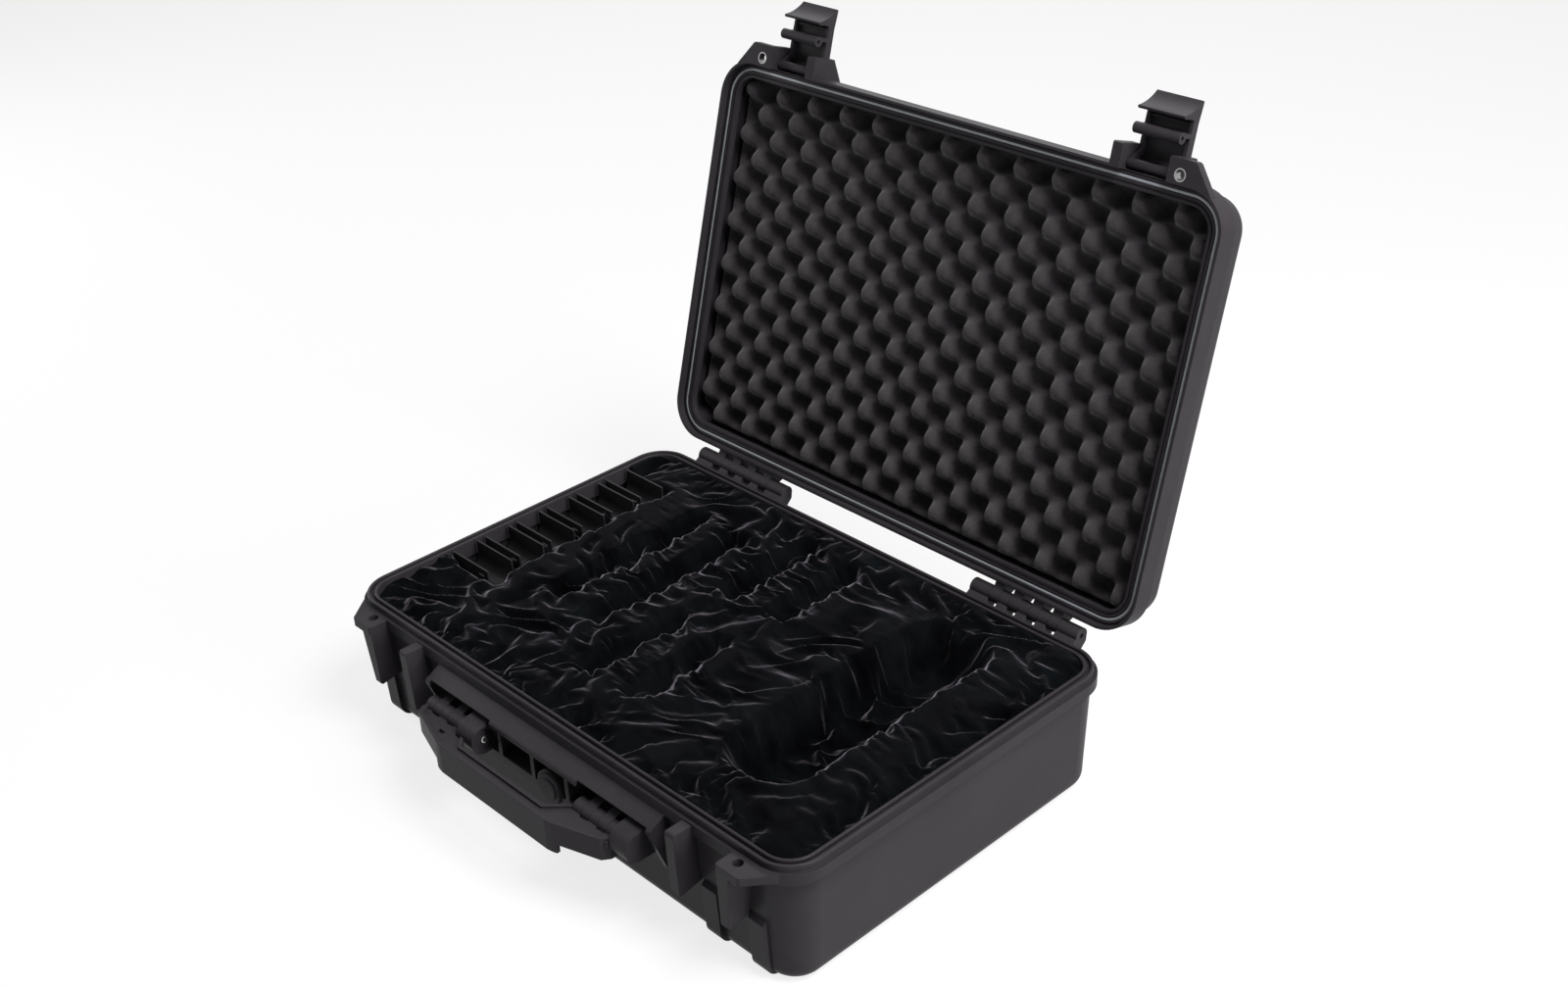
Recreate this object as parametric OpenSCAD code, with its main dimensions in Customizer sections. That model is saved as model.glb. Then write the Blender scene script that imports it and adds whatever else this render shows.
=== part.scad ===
// Hinged carrying case for microphones, moulded in black plastic.
// Frame: millimetres, +Z up, origin at the centre of the base's underside.
// -Y is the front with the handle, +Y the back with the hinges. The lid stands open.

/* [Case] */
// Width over the base's sealing ridge
case_w = 574; // [520:2:640]
// Depth over the base's sealing ridge, front to back
case_d = 375; // [350:1:430]
// Height of the base, from its underside to the top of the sealing ridge
base_h = 122; // [115:1:160]
// Height of the lid above the top of the sealing ridge
lid_h = 46; // [42:1:70]
// Corner radius of the sealing ridge, seen from above
corner_r = 33; // [28:1:45]
// Thickness of the moulded walls
wall = 4; // [3:0.25:4.5]
// How far each side wall leans in from rim to floor
draft = 4; // [2:0.5:5]
// How far the lid's walls lean in from rim to top
lid_draft = 2; // [1:0.5:3]
// Radius of the rounded edges of floor and lid top
edge_r = 14; // [8:1:16]
// Angle of the lid when it stands open
lid_open = 105.4; // [95:0.1:112]

/* [Rim and seal] */
// Width of each of the two sealing ridges
ridge_w = 3; // [2.4:0.2:3.6]
// Width of the groove between the ridges
ridge_gap = 3.4; // [3:0.2:4]
// Height of the ridges above the flange
ridge_h = 6.5; // [5.5:0.5:8]
// Depth of the groove between the ridges
ridge_groove = 4; // [2:0.5:5]
// How far the flange stands out from the ridges
flange_out = 3.2; // [2.8:0.2:4]
// Height of the flange band, from the top of the ridge to its lower edge
rim_drop = 17; // [15:1:20]
// Step from the outer ridge face in to the wall under the flange
wall_in = 1.8; // [1:0.2:2.4]
// Thickness of the round sealing cord
seal_d = 5; // [4:0.25:5.5]
// Gap between the lid's rim and the base's rim
rim_gap = 0.5; // [0.4:0.1:0.8]
// Width of the lid's rim, from the sealing ridge inwards
lid_rim_w = 13; // [12:0.5:16]
// Height of the lid's rim band
lid_rim_h = 14; // [12:1:18]

/* [Hinges] */
// Distance of the hinge axis behind the sealing ridge
hinge_back = 17; // [15.5:0.5:20]
// Depth of the hinge axis below the top of the sealing ridge
hinge_drop = 2.5; // [1:0.5:4]
// Outer diameter of the hinge knuckles
knuckle_d = 15; // [13:0.5:16]
// Diameter of the steel hinge pins
hinge_pin_d = 5; // [4:0.5:6]
// Distance of each hinge's outer end from the side of the case
hinge_side = 44; // [40:1:52]
// Length of each hinge's end knuckles
hinge_end_l = 22; // [18:1:26]
// Pitch of the alternating knuckles
hinge_pitch = 11; // [9:0.5:12]
// Number of knuckles on the lid, for each hinge
hinge_lid_n = 4; // [3:1:4]

/* [Latches] */
// Distance from the side of the case to the middle of each latch
latch_side = 81.5; // [78:0.5:92]
// Width of the latch levers
latch_w = 46; // [40:0.2:47]
// Distance of the latch pivot in front of the sealing ridge
latch_out = 5.5; // [5:0.5:6]
// Height of the latch pivot above the sealing ridge
latch_up = 7.5; // [7:0.5:10]
// Diameter of the round bead that hooks under the base's flange
hook_d = 9.5; // [8:0.5:10]
// How far that bead stands behind the lever's pivot, which holds it there
hook_in = 2; // [1.5:0.25:2.25]
// Diameter of the steel latch pins
latch_pin_d = 4; // [3:0.5:4.5]
// Distance from pivot axis to the lever's outer face
lever_n = 16.5; // [14:0.5:18]
// Thickness of the lever's plate
lever_t = 4; // [3:0.25:5]
// Length of the lever, from its pivot to the finger tab
lever_l = 54; // [50:1:60]

/* [Lugs and fins] */
// Distance from the side of the case to each padlock hole
lug_side = 46; // [40:1:48]
// Distance of the padlock holes in front of the sealing ridge
lug_out = 9; // [8:0.5:11]
// Diameter of the padlock holes
lug_hole_d = 9; // [7:0.5:10]
// How far lugs and fins stand out in front of the sealing ridge
fin_out = 22; // [20:0.5:24]
// Thickness of the guard fins beside the latches
fin_t = 10; // [7:0.5:12]
// Depth of the fins' lower end below the top of the sealing ridge
fin_drop = 69; // [60:1:75]
// Thickness of the lug plates
lug_t = 7.5; // [6:0.5:12]
// Wall thickness of the steel eyelets in the lid's lugs
eyelet_t = 1; // [0.6:0.1:1.5]

/* [Handle] */
// Distance of the handle's pivot axis in front of the sealing ridge
pivot_out = 21; // [20:0.5:23]
// Depth of the handle's pivot axis below the top of the sealing ridge
pivot_drop = 44; // [42:1:50]
// Distance between the two handle hinges, measured between like knuckles
pivot_pitch = 203; // [190:1:210]
// Diameter of the handle's knuckles
pivot_d = 17; // [15:0.5:19]
// Diameter of the round bosses that hold the handle's pins
boss_d = 28; // [24:1:30]
// Length of those bosses
boss_l = 21; // [16:1:24]
// Diameter of the handle's steel pins
pivot_pin_d = 6; // [5:0.5:7]
// Length of one handle knuckle
pivot_knuckle = 10.5; // [9:0.5:12]
// How far the grip stands in front of the pivot axis
grip_out = 34; // [30:1:42]
// Thickness of the grip, front to back
grip_t = 12; // [10:0.5:15]
// Height of the grip
grip_h = 30; // [24:1:34]
// Height of the handle's outer band beside the grip
arm_h = 21; // [16:1:24]
// Wall thickness of the handle
handle_wall = 3.2; // [2.5:0.1:4]
// Length of the straight grip
grip_l = 156; // [130:2:170]

/* [Front] */
// How far the middle of the front stands proud of the sealing ridge
shoulder_out = 19; // [16:0.5:20]
// Depth of the shoulder's lower edge below the top of the sealing ridge
shoulder_drop = 29; // [26:1:31]
// Depth of the pocket floor under the shoulder, below the top of the ridge
pocket_drop = 51; // [48:1:56]
// Half width of the shoulder
shoulder_hw = 150; // [140:1:160]
// Distance between the ribs in the pockets under the shoulder
rib_pitch = 45; // [40:1:50]
// Thickness of those ribs
rib_t = 5; // [3:0.5:6]
// Diameter of the pressure valve
valve_d = 28; // [22:1:32]
// Distance of the valve from the case's middle
valve_x = 22; // [18:0.5:24]
// Width of the shallow upright ribs under fins and lugs
strip_w = 17; // [12:1:20]
// How far those upright ribs stand out from the wall
strip_out = 4; // [2:0.5:5]

/* [Tray and lining] */
// Depth of the foam tray's top below the top of the sealing ridge
tray_drop = 12; // [10:0.5:20]
// Gap between the tray and the case's walls
tray_gap = 1; // [0.5:0.25:2]
// Width of the pockets for slim microphones
slim_w = 28; // [24:1:34]
// Depth of the slim pockets
slim_depth = 13; // [8:0.5:18]
// Length of the pockets for the shorter slim microphones
short_l = 118; // [108:1:122]
// Length of the pockets for the longer slim microphones
long_l = 192; // [170:1:192]
// Width of the pocket for the large microphone
large_w = 84; // [70:1:90]
// Length of the pocket for the large microphone
large_l = 260; // [256:1:262]
// Depth of the pocket for the large microphone
large_depth = 42; // [30:1:55]
// Thickness of the velvet lining
velvet_t = 1.6; // [1.2:0.1:2.4]
// Height of the lining's main folds
fold_h = 5; // [2:0.5:7]

/* [Clips] */
// Distance between the clips in the row along the left wall
clip_pitch = 37; // [34:0.1:38]
// Outer width of a clip's trough
clip_w = 29; // [24:0.5:31]
// Height of a clip
clip_h = 28; // [22:1:32]
// Length of a clip's trough
clip_l = 54; // [40:1:58]
// Wall thickness of a clip
clip_t = 1.8; // [1.4:0.1:2.2]

/* [Lid foam] */
// Distance between neighbouring peaks of the foam, along a row
foam_pitch = 42; // [36:1:48]
// Height from the foam's valleys to its peaks
foam_wave = 24; // [16:1:26]
// Clearance between the foam's peaks and the closed rim
foam_tip = 6; // [4:1:8]

/* [Hidden] */
$fn = 48;
eps = 0.01;
run_fit = 0.05;         // radial clearance of a pin in its bore
side_fit = 0.3;         // gap between pieces that move past each other
rx = case_w / 2;        // half width over the sealing ridge
ry = case_d / 2;        // half depth over the sealing ridge
rim_w = 2 * ridge_w + ridge_gap;
rim_z = base_h - rim_drop;
seat_z = base_h - ridge_h;              // top of the flange
hinge_y = ry + hinge_back;
hinge_z = base_h - hinge_drop;
hinge_l = 2 * hinge_end_l + (2 * hinge_lid_n - 1) * hinge_pitch;
hinge_in = rx - hinge_side - hinge_l;
latch_x = rx - latch_side;
lug_x = rx - lug_side;
fin_y = -ry - fin_out;
pivot_y = -ry - pivot_out;
pivot_z = base_h - pivot_drop;
latch_y = -ry - latch_out;
latch_z = base_h + latch_up;
hook_reach = latch_up + rim_drop + hook_d / 2 + side_fit;       // puts the bead under the flange
bay_in = latch_x - latch_w / 2 - side_fit;      // inner side of the latch bay
bay_out = latch_x + latch_w / 2 + side_fit;     // outer side of the latch bay
shoulder_y = -ry - shoulder_out;
shoulder_z = base_h - shoulder_drop;
pocket_z = base_h - pocket_drop;
row_l = 5 * pivot_knuckle + boss_l + 2 * side_fit;      // one handle hinge with its boss
row_x = [-pivot_pitch / 2 - row_l / 2, pivot_pitch / 2 - row_l / 2];
handle_x = (row_x[0] + row_x[1] + 5 * pivot_knuckle) / 2;       // middle of the handle
lid_wall_z = base_h + lid_h;
tray_hx = rx - wall_in - draft - wall - tray_gap;
tray_hy = ry - wall_in - draft - wall - tray_gap;
tray_top = base_h - tray_drop;
pocket_r = 3;
end_run = 7;            // length of the slope at a pocket's end
clip_n = 6;
clip_x = -tray_hx + 2;
clip_y = 22;
clip_z = base_h - clip_h - 1;
long_x = [-152, -98];
long_y = 30;
short_xy = [[-38.5, 101], [21.5, 101], [-38.5, -61], [21.5, -61]];
large_x = 168;
large_y = short_xy[2][1] - short_l / 2 + large_l / 2;
shelf_x = clip_x + clip_l + 8;           // where the clips' shelf ends
layer_z = tray_top - slim_depth;        // underside of the tray's top layer
lining_x0 = shelf_x + 6;
lining_hx = rx - rim_w - 2 * side_fit;
lining_hy = ry - rim_w - 2 * side_fit;

// Inset of the base's outer wall from the sealing ridge, at height z
function wall_inset(z) = wall_in + draft * (rim_z - z) / (rim_z - edge_r);
// Middle of the base's wall at the front, at height z
function front_mid(z) = -ry + wall_inset(z) + wall / 2;

// ---- helpers ----

// Sweeps a profile round a rounded rectangle. In the profile X is outward and 0 is the path.
module swept(hx, hy, r) {
    for (k = [0, 1])
        mirror([k, 0, 0])
            for (j = [0, 1])
                mirror([0, j, 0])
                    translate([hx - r, hy - r, 0])
                        rotate_extrude(angle = 90)
                            translate([r, 0])
                                children();
    for (k = [0, 180])
        rotate([0, 0, k]) {
            rotate([90, 0, 0])
                linear_extrude(2 * (hy - r), center = true)
                    translate([hx, 0])
                        children();
            rotate([90, 0, 90])
                linear_extrude(2 * (hx - r), center = true)
                    translate([hy, 0])
                        children();
        }
}

// A flat plate with round corners
module plate(hx, hy, r, h) {
    linear_extrude(h) {
        square([2 * (hx - r), 2 * hy], center = true);
        square([2 * hx, 2 * (hy - r)], center = true);
        for (x = [-1, 1])
            for (y = [-1, 1])
                translate([x * (hx - r), y * (hy - r)])
                    circle(r);
    }
}

// Extrudes an outline drawn in Y and Z from x0 to x1
module side_plate(x0, x1) {
    translate([x0, 0, 0])
        rotate([90, 0, 90])
            linear_extrude(x1 - x0)
                children();
}

// A round bar along X
module bar(x0, x1, y, z, d) {
    translate([x0, y, z])
        rotate([0, 90, 0])
            cylinder(d = d, h = x1 - x0);
}

module both_sides() {
    children();
    mirror([1, 0, 0])
        children();
}

// Turns what is drawn on the closed lid to where the open lid stands
module on_open_lid() {
    translate([0, hinge_y, hinge_z])
        rotate([-lid_open, 0, 0])
            translate([0, -hinge_y, -hinge_z])
                children();
}

// ---- base ----

module base_section() {
    difference() {
        union() {
            translate([-rim_w, rim_z])
                square([rim_w, rim_drop - ridge_w / 2]);
            for (u = [-ridge_w / 2, -rim_w + ridge_w / 2])
                translate([u, base_h - ridge_w / 2])
                    circle(d = ridge_w);
            translate([-eps, rim_z])
                square([flange_out + eps, rim_drop - ridge_h]);
        }
        translate([-rim_w + ridge_w, base_h - ridge_groove])
            square([ridge_gap, ridge_groove + eps]);
    }
    polygon([
        [-wall_in, rim_z + 1],
        [-wall_in - draft, edge_r],
        [-wall_in - draft - wall, edge_r],
        [-wall_in - wall, rim_z - rim_w + wall + wall_in],
        [-rim_w, rim_z + eps],
        [-rim_w, rim_z + 1]
    ]);
    translate([-wall_in - draft - edge_r, edge_r])
        intersection() {
            difference() {
                circle(edge_r);
                circle(edge_r - wall);
            }
            translate([0, -edge_r])
                square(edge_r);
        }
    translate([-wall_in - draft - edge_r - 1, 0])
        square([1 + eps, wall]);
}

module base_floor() {
    inset = wall_in + draft + edge_r;
    plate(rx - inset, ry - inset, corner_r - inset, wall);
}

// Guard fin beside a latch
module fin() {
    low_z = base_h - fin_drop;
    top_z = seat_z - 1.5;
    side_plate(bay_in - fin_t, bay_in)
        polygon([
            [front_mid(rim_z), rim_z + 1],
            [-ry - flange_out / 2, top_z],
            [fin_y + 2, top_z],
            [fin_y + 0.5, top_z - 1],
            [fin_y, top_z - 3],
            [fin_y + 2, low_z + 1.5],
            [fin_y + 4, low_z],
            [front_mid(low_z), low_z + 4]
        ]);
}

// Corner lug and the rib under it
module lug_outline() {
    outer = lug_x + lug_hole_d + 5;
    polygon([
        [bay_out, -ry + rim_w / 2],
        [bay_out, fin_y + 2],
        [bay_out + 2, fin_y],
        [outer - 2, fin_y],
        [outer, fin_y + 1],
        [outer + fin_out - 4, -ry + 1.5],
        [outer + fin_out - 6, -ry + corner_r / 2],
        [rx - corner_r, -ry + rim_w / 2]
    ]);
}

module lug() {
    low_z = base_h - fin_drop;
    top_z = seat_z - lug_t;
    translate([0, 0, top_z])
        linear_extrude(lug_t)
            lug_outline();
    // the rib grows narrower towards its lower end
    intersection() {
        side_plate(bay_out, bay_out + fin_t + 4)
            polygon([
                [front_mid(rim_z), top_z + 1],
                [fin_y + 1, top_z + 1],
                [fin_y + 3, low_z + 1.5],
                [fin_y + 5, low_z],
                [front_mid(low_z), low_z + 4]
            ]);
        translate([0, -ry + rim_w, 0])
            rotate([90, 0, 0])
                linear_extrude(2 * fin_out)
                    polygon([
                        [bay_out, top_z + 1],
                        [bay_out + fin_t + 4, top_z + 1],
                        [bay_out + fin_t - 2, low_z],
                        [bay_out, low_z]
                    ]);
    }
}

// The block of space in front of the flange that holds the outer part of the right lug
module lug_front() {
    translate([bay_out - 1, fin_y - 1, base_h - fin_drop - 1])
        cube([rx - bay_out, fin_out - flange_out + 1, fin_drop]);
}

// Outer part of the right corner lug, with its padlock hole. It starts at the flange's face.
module base_lug() {
    color([0.13, 0.13, 0.14])
    difference() {
        intersection() {
            lug();
            lug_front();
        }
        translate([lug_x, -ry - lug_out, seat_z - lug_t - 1])
            cylinder(d = lug_hole_d, h = lug_t + 2);
    }
}

// Shallow upright rib that runs down the wall and rounds under with its edge
module strip(x) {
    top_z = base_h - fin_drop + 8;
    side_plate(x, x + strip_w)
        difference() {
            union() {
                polygon([
                    [front_mid(top_z), top_z],
                    [-ry + wall_inset(top_z) - strip_out, top_z - 6],
                    [-ry + wall_inset(edge_r) - strip_out, edge_r],
                    [front_mid(edge_r), edge_r]
                ]);
                translate([-ry + wall_inset(edge_r) - strip_out + edge_r, edge_r])
                    circle(edge_r);
            }
            translate([-ry + wall_inset(edge_r) + edge_r, edge_r])
                circle(edge_r - wall / 2);
            translate([-ry + wall_inset(edge_r) + edge_r, 0])
                square([2 * edge_r, 3 * edge_r]);
            translate([front_mid(edge_r), edge_r])
                square([2 * edge_r, 2 * edge_r]);
        }
}

// Sloping shoulder in the middle of the front, with the pockets under it
module front_block() {
    shelf_z = pocket_z - 9;
    heel_z = shelf_z - 12;
    difference() {
        union() {
            side_plate(-shoulder_hw, shoulder_hw)
                polygon([
                    [front_mid(rim_z), rim_z + 1],
                    [-ry - flange_out + 1, rim_z + 1],
                    [shoulder_y + 1.5, shoulder_z + 5],
                    [shoulder_y, shoulder_z + 3.5],
                    [shoulder_y, shoulder_z],
                    [front_mid(shoulder_z), shoulder_z]
                ]);
            side_plate(-rib_pitch - 15, rib_pitch + 15)
                polygon([
                    [front_mid(pocket_z), pocket_z],
                    [shoulder_y, pocket_z],
                    [shoulder_y, shelf_z],
                    [front_mid(heel_z) - wall, heel_z],
                    [front_mid(heel_z), heel_z]
                ]);
        }
        for (x = row_x)
            bar(x - 6, x + row_l + 6, pivot_y, pivot_z, 2 * pivot_out - 1);
    }
    for (x = [-rib_pitch, 0, rib_pitch])
        side_plate(x - rib_t / 2, x + rib_t / 2)
            polygon([
                [front_mid(pocket_z), shoulder_z + 1],
                [shoulder_y, shoulder_z + 1],
                [shoulder_y, pocket_z - 1],
                [front_mid(pocket_z), pocket_z - 1]
            ]);
    both_sides()
        side_plate(shoulder_hw - rib_t, shoulder_hw)
            polygon([
                [front_mid(shoulder_z), shoulder_z + 1],
                [shoulder_y, shoulder_z + 1],
                [-ry - wall, base_h - fin_drop],
                [front_mid(pocket_z), base_h - fin_drop]
            ]);
}

// The base's knuckles and pin boss of one handle hinge, which starts at x
module handle_seat(x) {
    for (k = [1, 3]) {
        x0 = x + k * pivot_knuckle + side_fit;
        x1 = x + (k + 1) * pivot_knuckle - side_fit;
        bar(x0, x1, pivot_y, pivot_z, pivot_d);
        side_plate(x0, x1)
            polygon([
                [pivot_y, pivot_z + pivot_d / 2],
                [front_mid(pivot_z), pivot_z + pivot_d / 2 + 6],
                [front_mid(pivot_z), pivot_z - pivot_d / 2],
                [pivot_y, pivot_z - pivot_d / 2]
            ]);
    }
    boss_x = x + 5 * pivot_knuckle + side_fit;
    bar(boss_x, boss_x + boss_l, pivot_y, pivot_z, boss_d);
    side_plate(boss_x, boss_x + boss_l)
        polygon([
            [pivot_y, pivot_z + boss_d / 2],
            [front_mid(pivot_z), pivot_z + boss_d / 2 + 4],
            [front_mid(pivot_z), pivot_z - boss_d / 2],
            [pivot_y, pivot_z - boss_d / 2]
        ]);
}

// The base's knuckles of one hinge, on the +X side, with their arms to the wall
module base_knuckles() {
    for (k = [0 : hinge_lid_n]) {
        first = k == 0;
        last = k == hinge_lid_n;
        start = first ? 0 : hinge_end_l + (2 * k - 1) * hinge_pitch + side_fit;
        x0 = hinge_in + start;
        x1 = last ? hinge_in + hinge_l
            : first ? hinge_in + hinge_end_l - side_fit
            : x0 + hinge_pitch - 2 * side_fit;
        bar(x0, x1, hinge_y, hinge_z, knuckle_d);
        side_plate(x0, x1)
            polygon([
                [hinge_y + knuckle_d / 2, hinge_z],
                [hinge_y + knuckle_d / 2 - 1, hinge_z - knuckle_d / 2],
                [-front_mid(rim_z), rim_z - knuckle_d - 4],
                [-front_mid(rim_z), seat_z - 1],
                [ry + flange_out - 1, seat_z - 1],
                [hinge_y - knuckle_d / 2 + 0.5, hinge_z]
            ]);
    }
}

module base_shell() {
    color([0.13, 0.13, 0.14])
    difference() {
        union() {
            swept(rx, ry, corner_r)
                base_section();
            base_floor();
            both_sides() {
                fin();
                difference() {
                    lug();
                    lug_front();
                }
                strip(bay_in + 3);
                strip(bay_out + 9);
                base_knuckles();
            }
            front_block();
            for (x = row_x)
                handle_seat(x);
            translate([valve_x, front_mid(pocket_z), pocket_z])
                rotate([90, 0, 0])
                    cylinder(d = valve_d + 6, h = front_mid(pocket_z) - shoulder_y);
        }
        // bores
        both_sides()
            bar(hinge_in + 4, hinge_in + hinge_l + 1, hinge_y, hinge_z, hinge_pin_d + 2 * run_fit);
        for (x = row_x)
            bar(x - 1, x + row_l - side_fit - 6, pivot_y, pivot_z, pivot_pin_d + 2 * run_fit);
        translate([valve_x, shoulder_y + wall + 2, pocket_z])
            rotate([90, 0, 0])
                cylinder(d = valve_d + 2 * side_fit, h = 3 * wall);
        translate([valve_x, front_mid(pocket_z) + wall, pocket_z])
            rotate([90, 0, 0])
                cylinder(d = valve_d / 2, h = 2 * pivot_out);
    }
}

// ---- inside the base ----

module pocket(x, y, w, l, depth) {
    translate([x, y, tray_top - depth])
        plate(w / 2, l / 2, pocket_r, depth + 1);
}

// Outline of a clip seen along its trough, grown by g: a half round with straight sides
module clip_outline(g) {
    translate([0, clip_w / 2])
        circle(d = clip_w + 2 * g);
    translate([-clip_w / 2 - g, clip_w / 2])
        square([clip_w + 2 * g, clip_h - clip_w / 2]);
}

// Puts what is drawn along a trough at the place of clip k
module at_clip(k) {
    translate([clip_x, clip_y + (k - (clip_n - 1) / 2) * clip_pitch, clip_z])
        rotate([90, 0, 90])
            children();
}

// The block of foam that fills the base, cut back round the case's rounded lower edge
module foam_block() {
    difference() {
        translate([0, 0, wall + side_fit])
            plate(tray_hx, tray_hy, corner_r - rim_w, tray_top - wall - side_fit);
        for (k = [0, 180])
            rotate([0, 0, k]) {
                translate([0, tray_hy + eps, wall])
                    rotate([90, 0, 90])
                        linear_extrude(case_w, center = true)
                            polygon([[0, -1], [0, edge_r], [-edge_r, -1]]);
                translate([tray_hx + eps, 0, wall])
                    rotate([90, 0, 0])
                        linear_extrude(case_d, center = true)
                            polygon([[0, -1], [0, edge_r], [-edge_r, -1]]);
            }
    }
}

// The part of that block between x0 and x1, from height z0 to z1
module foam_between(x0, x1, z0, z1) {
    intersection() {
        foam_block();
        translate([x0, -ry, z0])
            cube([x1 - x0, case_d, z1 - z0]);
    }
}

// Top layer of the foam insert, with the pockets cut through it
module foam_tray() {
    color([0.1, 0.1, 0.11])
    difference() {
        foam_between(shelf_x, rx, layer_z, base_h);
        for (x = long_x)
            pocket(x, long_y, slim_w, long_l, slim_depth + 1);
        for (p = short_xy)
            pocket(p[0], p[1], slim_w, short_l, slim_depth + 1);
        pocket(large_x, large_y, large_w, large_l, large_depth);
    }
}

// Foam under that layer, which holds the lower part of the large pocket
module foam_pad() {
    color([0.1, 0.1, 0.11])
    difference() {
        foam_between(shelf_x, rx, 0, layer_z);
        pocket(large_x, large_y, large_w, large_l, large_depth);
    }
}

// Foam along the left wall, with a shelf and a groove for each clip
module clip_shelf() {
    color([0.1, 0.1, 0.11])
    difference() {
        foam_between(-rx, shelf_x, 0, base_h);
        translate([-rx, clip_y - clip_n * clip_pitch / 2, clip_z + clip_w / 3])
            cube([rx, clip_n * clip_pitch, clip_h]);
        for (k = [0 : clip_n - 1])
            at_clip(k)
                translate([0, 0, -2])
                    linear_extrude(clip_l + 4)
                        clip_outline(side_fit);
    }
}

// One clip: a trough of thin plastic, open at the top, with a slit near its front end
module clip(k) {
    color([0.1, 0.1, 0.11])
    at_clip(k)
        difference() {
            linear_extrude(clip_l)
                difference() {
                    clip_outline(0);
                    clip_outline(-clip_t);
                    translate([-clip_w / 2 + clip_t, clip_w / 2])
                        square([clip_w - 2 * clip_t, clip_h]);
                    translate([-clip_w, clip_h])
                        square([2 * clip_w, clip_w]);
                }
            translate([-clip_w, clip_h - 8, clip_l - 16])
                cube([clip_w, 2, 10]);
        }
}

// The lining: a thin sheet over the tray that dips into the pockets and lies in folds
function trough(d, half) = sqrt(max(0, 1 - pow(d / half, 2)));
function ramp(d, half, run) = max(0, min(1, (half - abs(d)) / run));
function slim_dip(x, y, cx, cy, l) =
    trough(x - cx, slim_w / 2 - 2 * side_fit) * ramp(y - cy, l / 2 - side_fit, end_run);
function all_slim(x, y) = max(concat(
    [for (cx = long_x) slim_dip(x, y, cx, long_y, long_l)],
    [for (p = short_xy) slim_dip(x, y, p[0], p[1], short_l)]));
function large_dip(x, y) =
    pow(trough(x - large_x, large_w / 2 - 2 * side_fit), 0.7)
    * ramp(y - large_y, large_l / 2 - side_fit, end_run);
function folds(x, y) =
    fold_h * (0.5 + 0.5 * sin(3.1 * x + 60 * sin(1.3 * y)) * cos(1.7 * y - 1.2 * x));
function lining_z(x, y) =
    tray_top + side_fit + velvet_t
    + folds(x, y) * (1 - max(all_slim(x, y), large_dip(x, y)))
    - (slim_depth - velvet_t - side_fit) * all_slim(x, y)
    - (large_depth - velvet_t - side_fit) * large_dip(x, y);
// Pulls a point of a square corner in to the round corner of a rectangle
function rounded(x, y, hx, hy, r) =
    let (
        dx = abs(x) - (hx - r),
        dy = abs(y) - (hy - r),
        f = dx > 0 && dy > 0 ? max(dx, dy) / norm([dx, dy]) : 1
    )
    [dx > 0 ? sign(x) * (hx - r + dx * f) : x, dy > 0 ? sign(y) * (hy - r + dy * f) : y];
// The two grid lines where a pocket of length l about c starts and ends
function low_end(c, l) = [c - l / 2 + side_fit, c - l / 2 + side_fit + end_run];
function high_end(c, l) = [c + l / 2 - side_fit - end_run, c + l / 2 - side_fit];
function span(a, b, n) = [for (k = [0 : n]) a + (b - a) * k / n];

module velvet_lining() {
    hw = slim_w / 2 - 2 * side_fit;
    lw = large_w / 2 - 2 * side_fit;
    cols = [long_x[0], long_x[1], short_xy[0][0], short_xy[1][0]];
    xs = concat(
        [lining_x0, (lining_x0 + cols[0] - hw) / 2],
        [for (c = cols) each [c - hw, c - hw / 2, c, c + hw / 2, c + hw]],
        [for (k = [1 : 3]) cols[3] + hw + (large_x - lw - cols[3] - hw) * k / 3],
        [large_x - 0.8 * lw, large_x - lw / 2, large_x, large_x + lw / 2, large_x + 0.8 * lw],
        span(large_x + lw, lining_hx, 3));
    ys = [
        -lining_hy,
        (-lining_hy + short_xy[2][1] - short_l / 2) / 2,
        each low_end(short_xy[2][1], short_l),
        each low_end(long_y, long_l),
        each high_end(short_xy[2][1], short_l),
        each low_end(short_xy[0][1], short_l),
        each high_end(long_y, long_l),
        each high_end(large_y, large_l),
        each high_end(short_xy[0][1], short_l),
        lining_hy
    ];
    nx = len(xs) - 1;
    ny = len(ys) - 1;
    corner = corner_r - rim_w;
    top = [for (y = ys) for (x = xs)
        concat(x > 0 ? rounded(x, y, lining_hx, lining_hy, corner) : [x, y], [lining_z(x, y)])];
    low = [for (p = top) [p[0], p[1], p[2] - velvet_t]];
    n = len(top);
    row = nx + 1;
    cells = [for (j = [0 : ny - 1]) for (i = [0 : nx - 1]) j * row + i];
    edge = concat(
        [for (i = [0 : nx - 1]) i],
        [for (j = [0 : ny - 1]) j * row + nx],
        [for (i = [0 : nx - 1]) ny * row + nx - i],
        [for (j = [0 : ny - 1]) (ny - j) * row]);
    m = len(edge);
    faces = concat(
        [for (c = cells) each [[c, c + row, c + row + 1], [c, c + row + 1, c + 1]]],
        [for (c = cells)
            let (d = n + c)
            each [[d, d + row + 1, d + row], [d, d + 1, d + row + 1]]],
        [for (k = [0 : m - 1])
            let (a = edge[k], b = edge[(k + 1) % m])
            each [[a, b, n + b], [a, n + b, n + a]]]);
    color([0.03, 0.035, 0.04])
        polyhedron(concat(top, low), faces);
}

// ---- fittings on the base ----

module valve_plug() {
    color([0.16, 0.16, 0.17])
    translate([valve_x, shoulder_y + wall + 2 - 1.5, pocket_z])
        rotate([90, 0, 0]) {
            cylinder(d = valve_d, h = wall + 3);
            translate([0, 0, wall + 3 - eps])
                cylinder(d = valve_d - 8, h = 1.2);
        }
}

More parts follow.
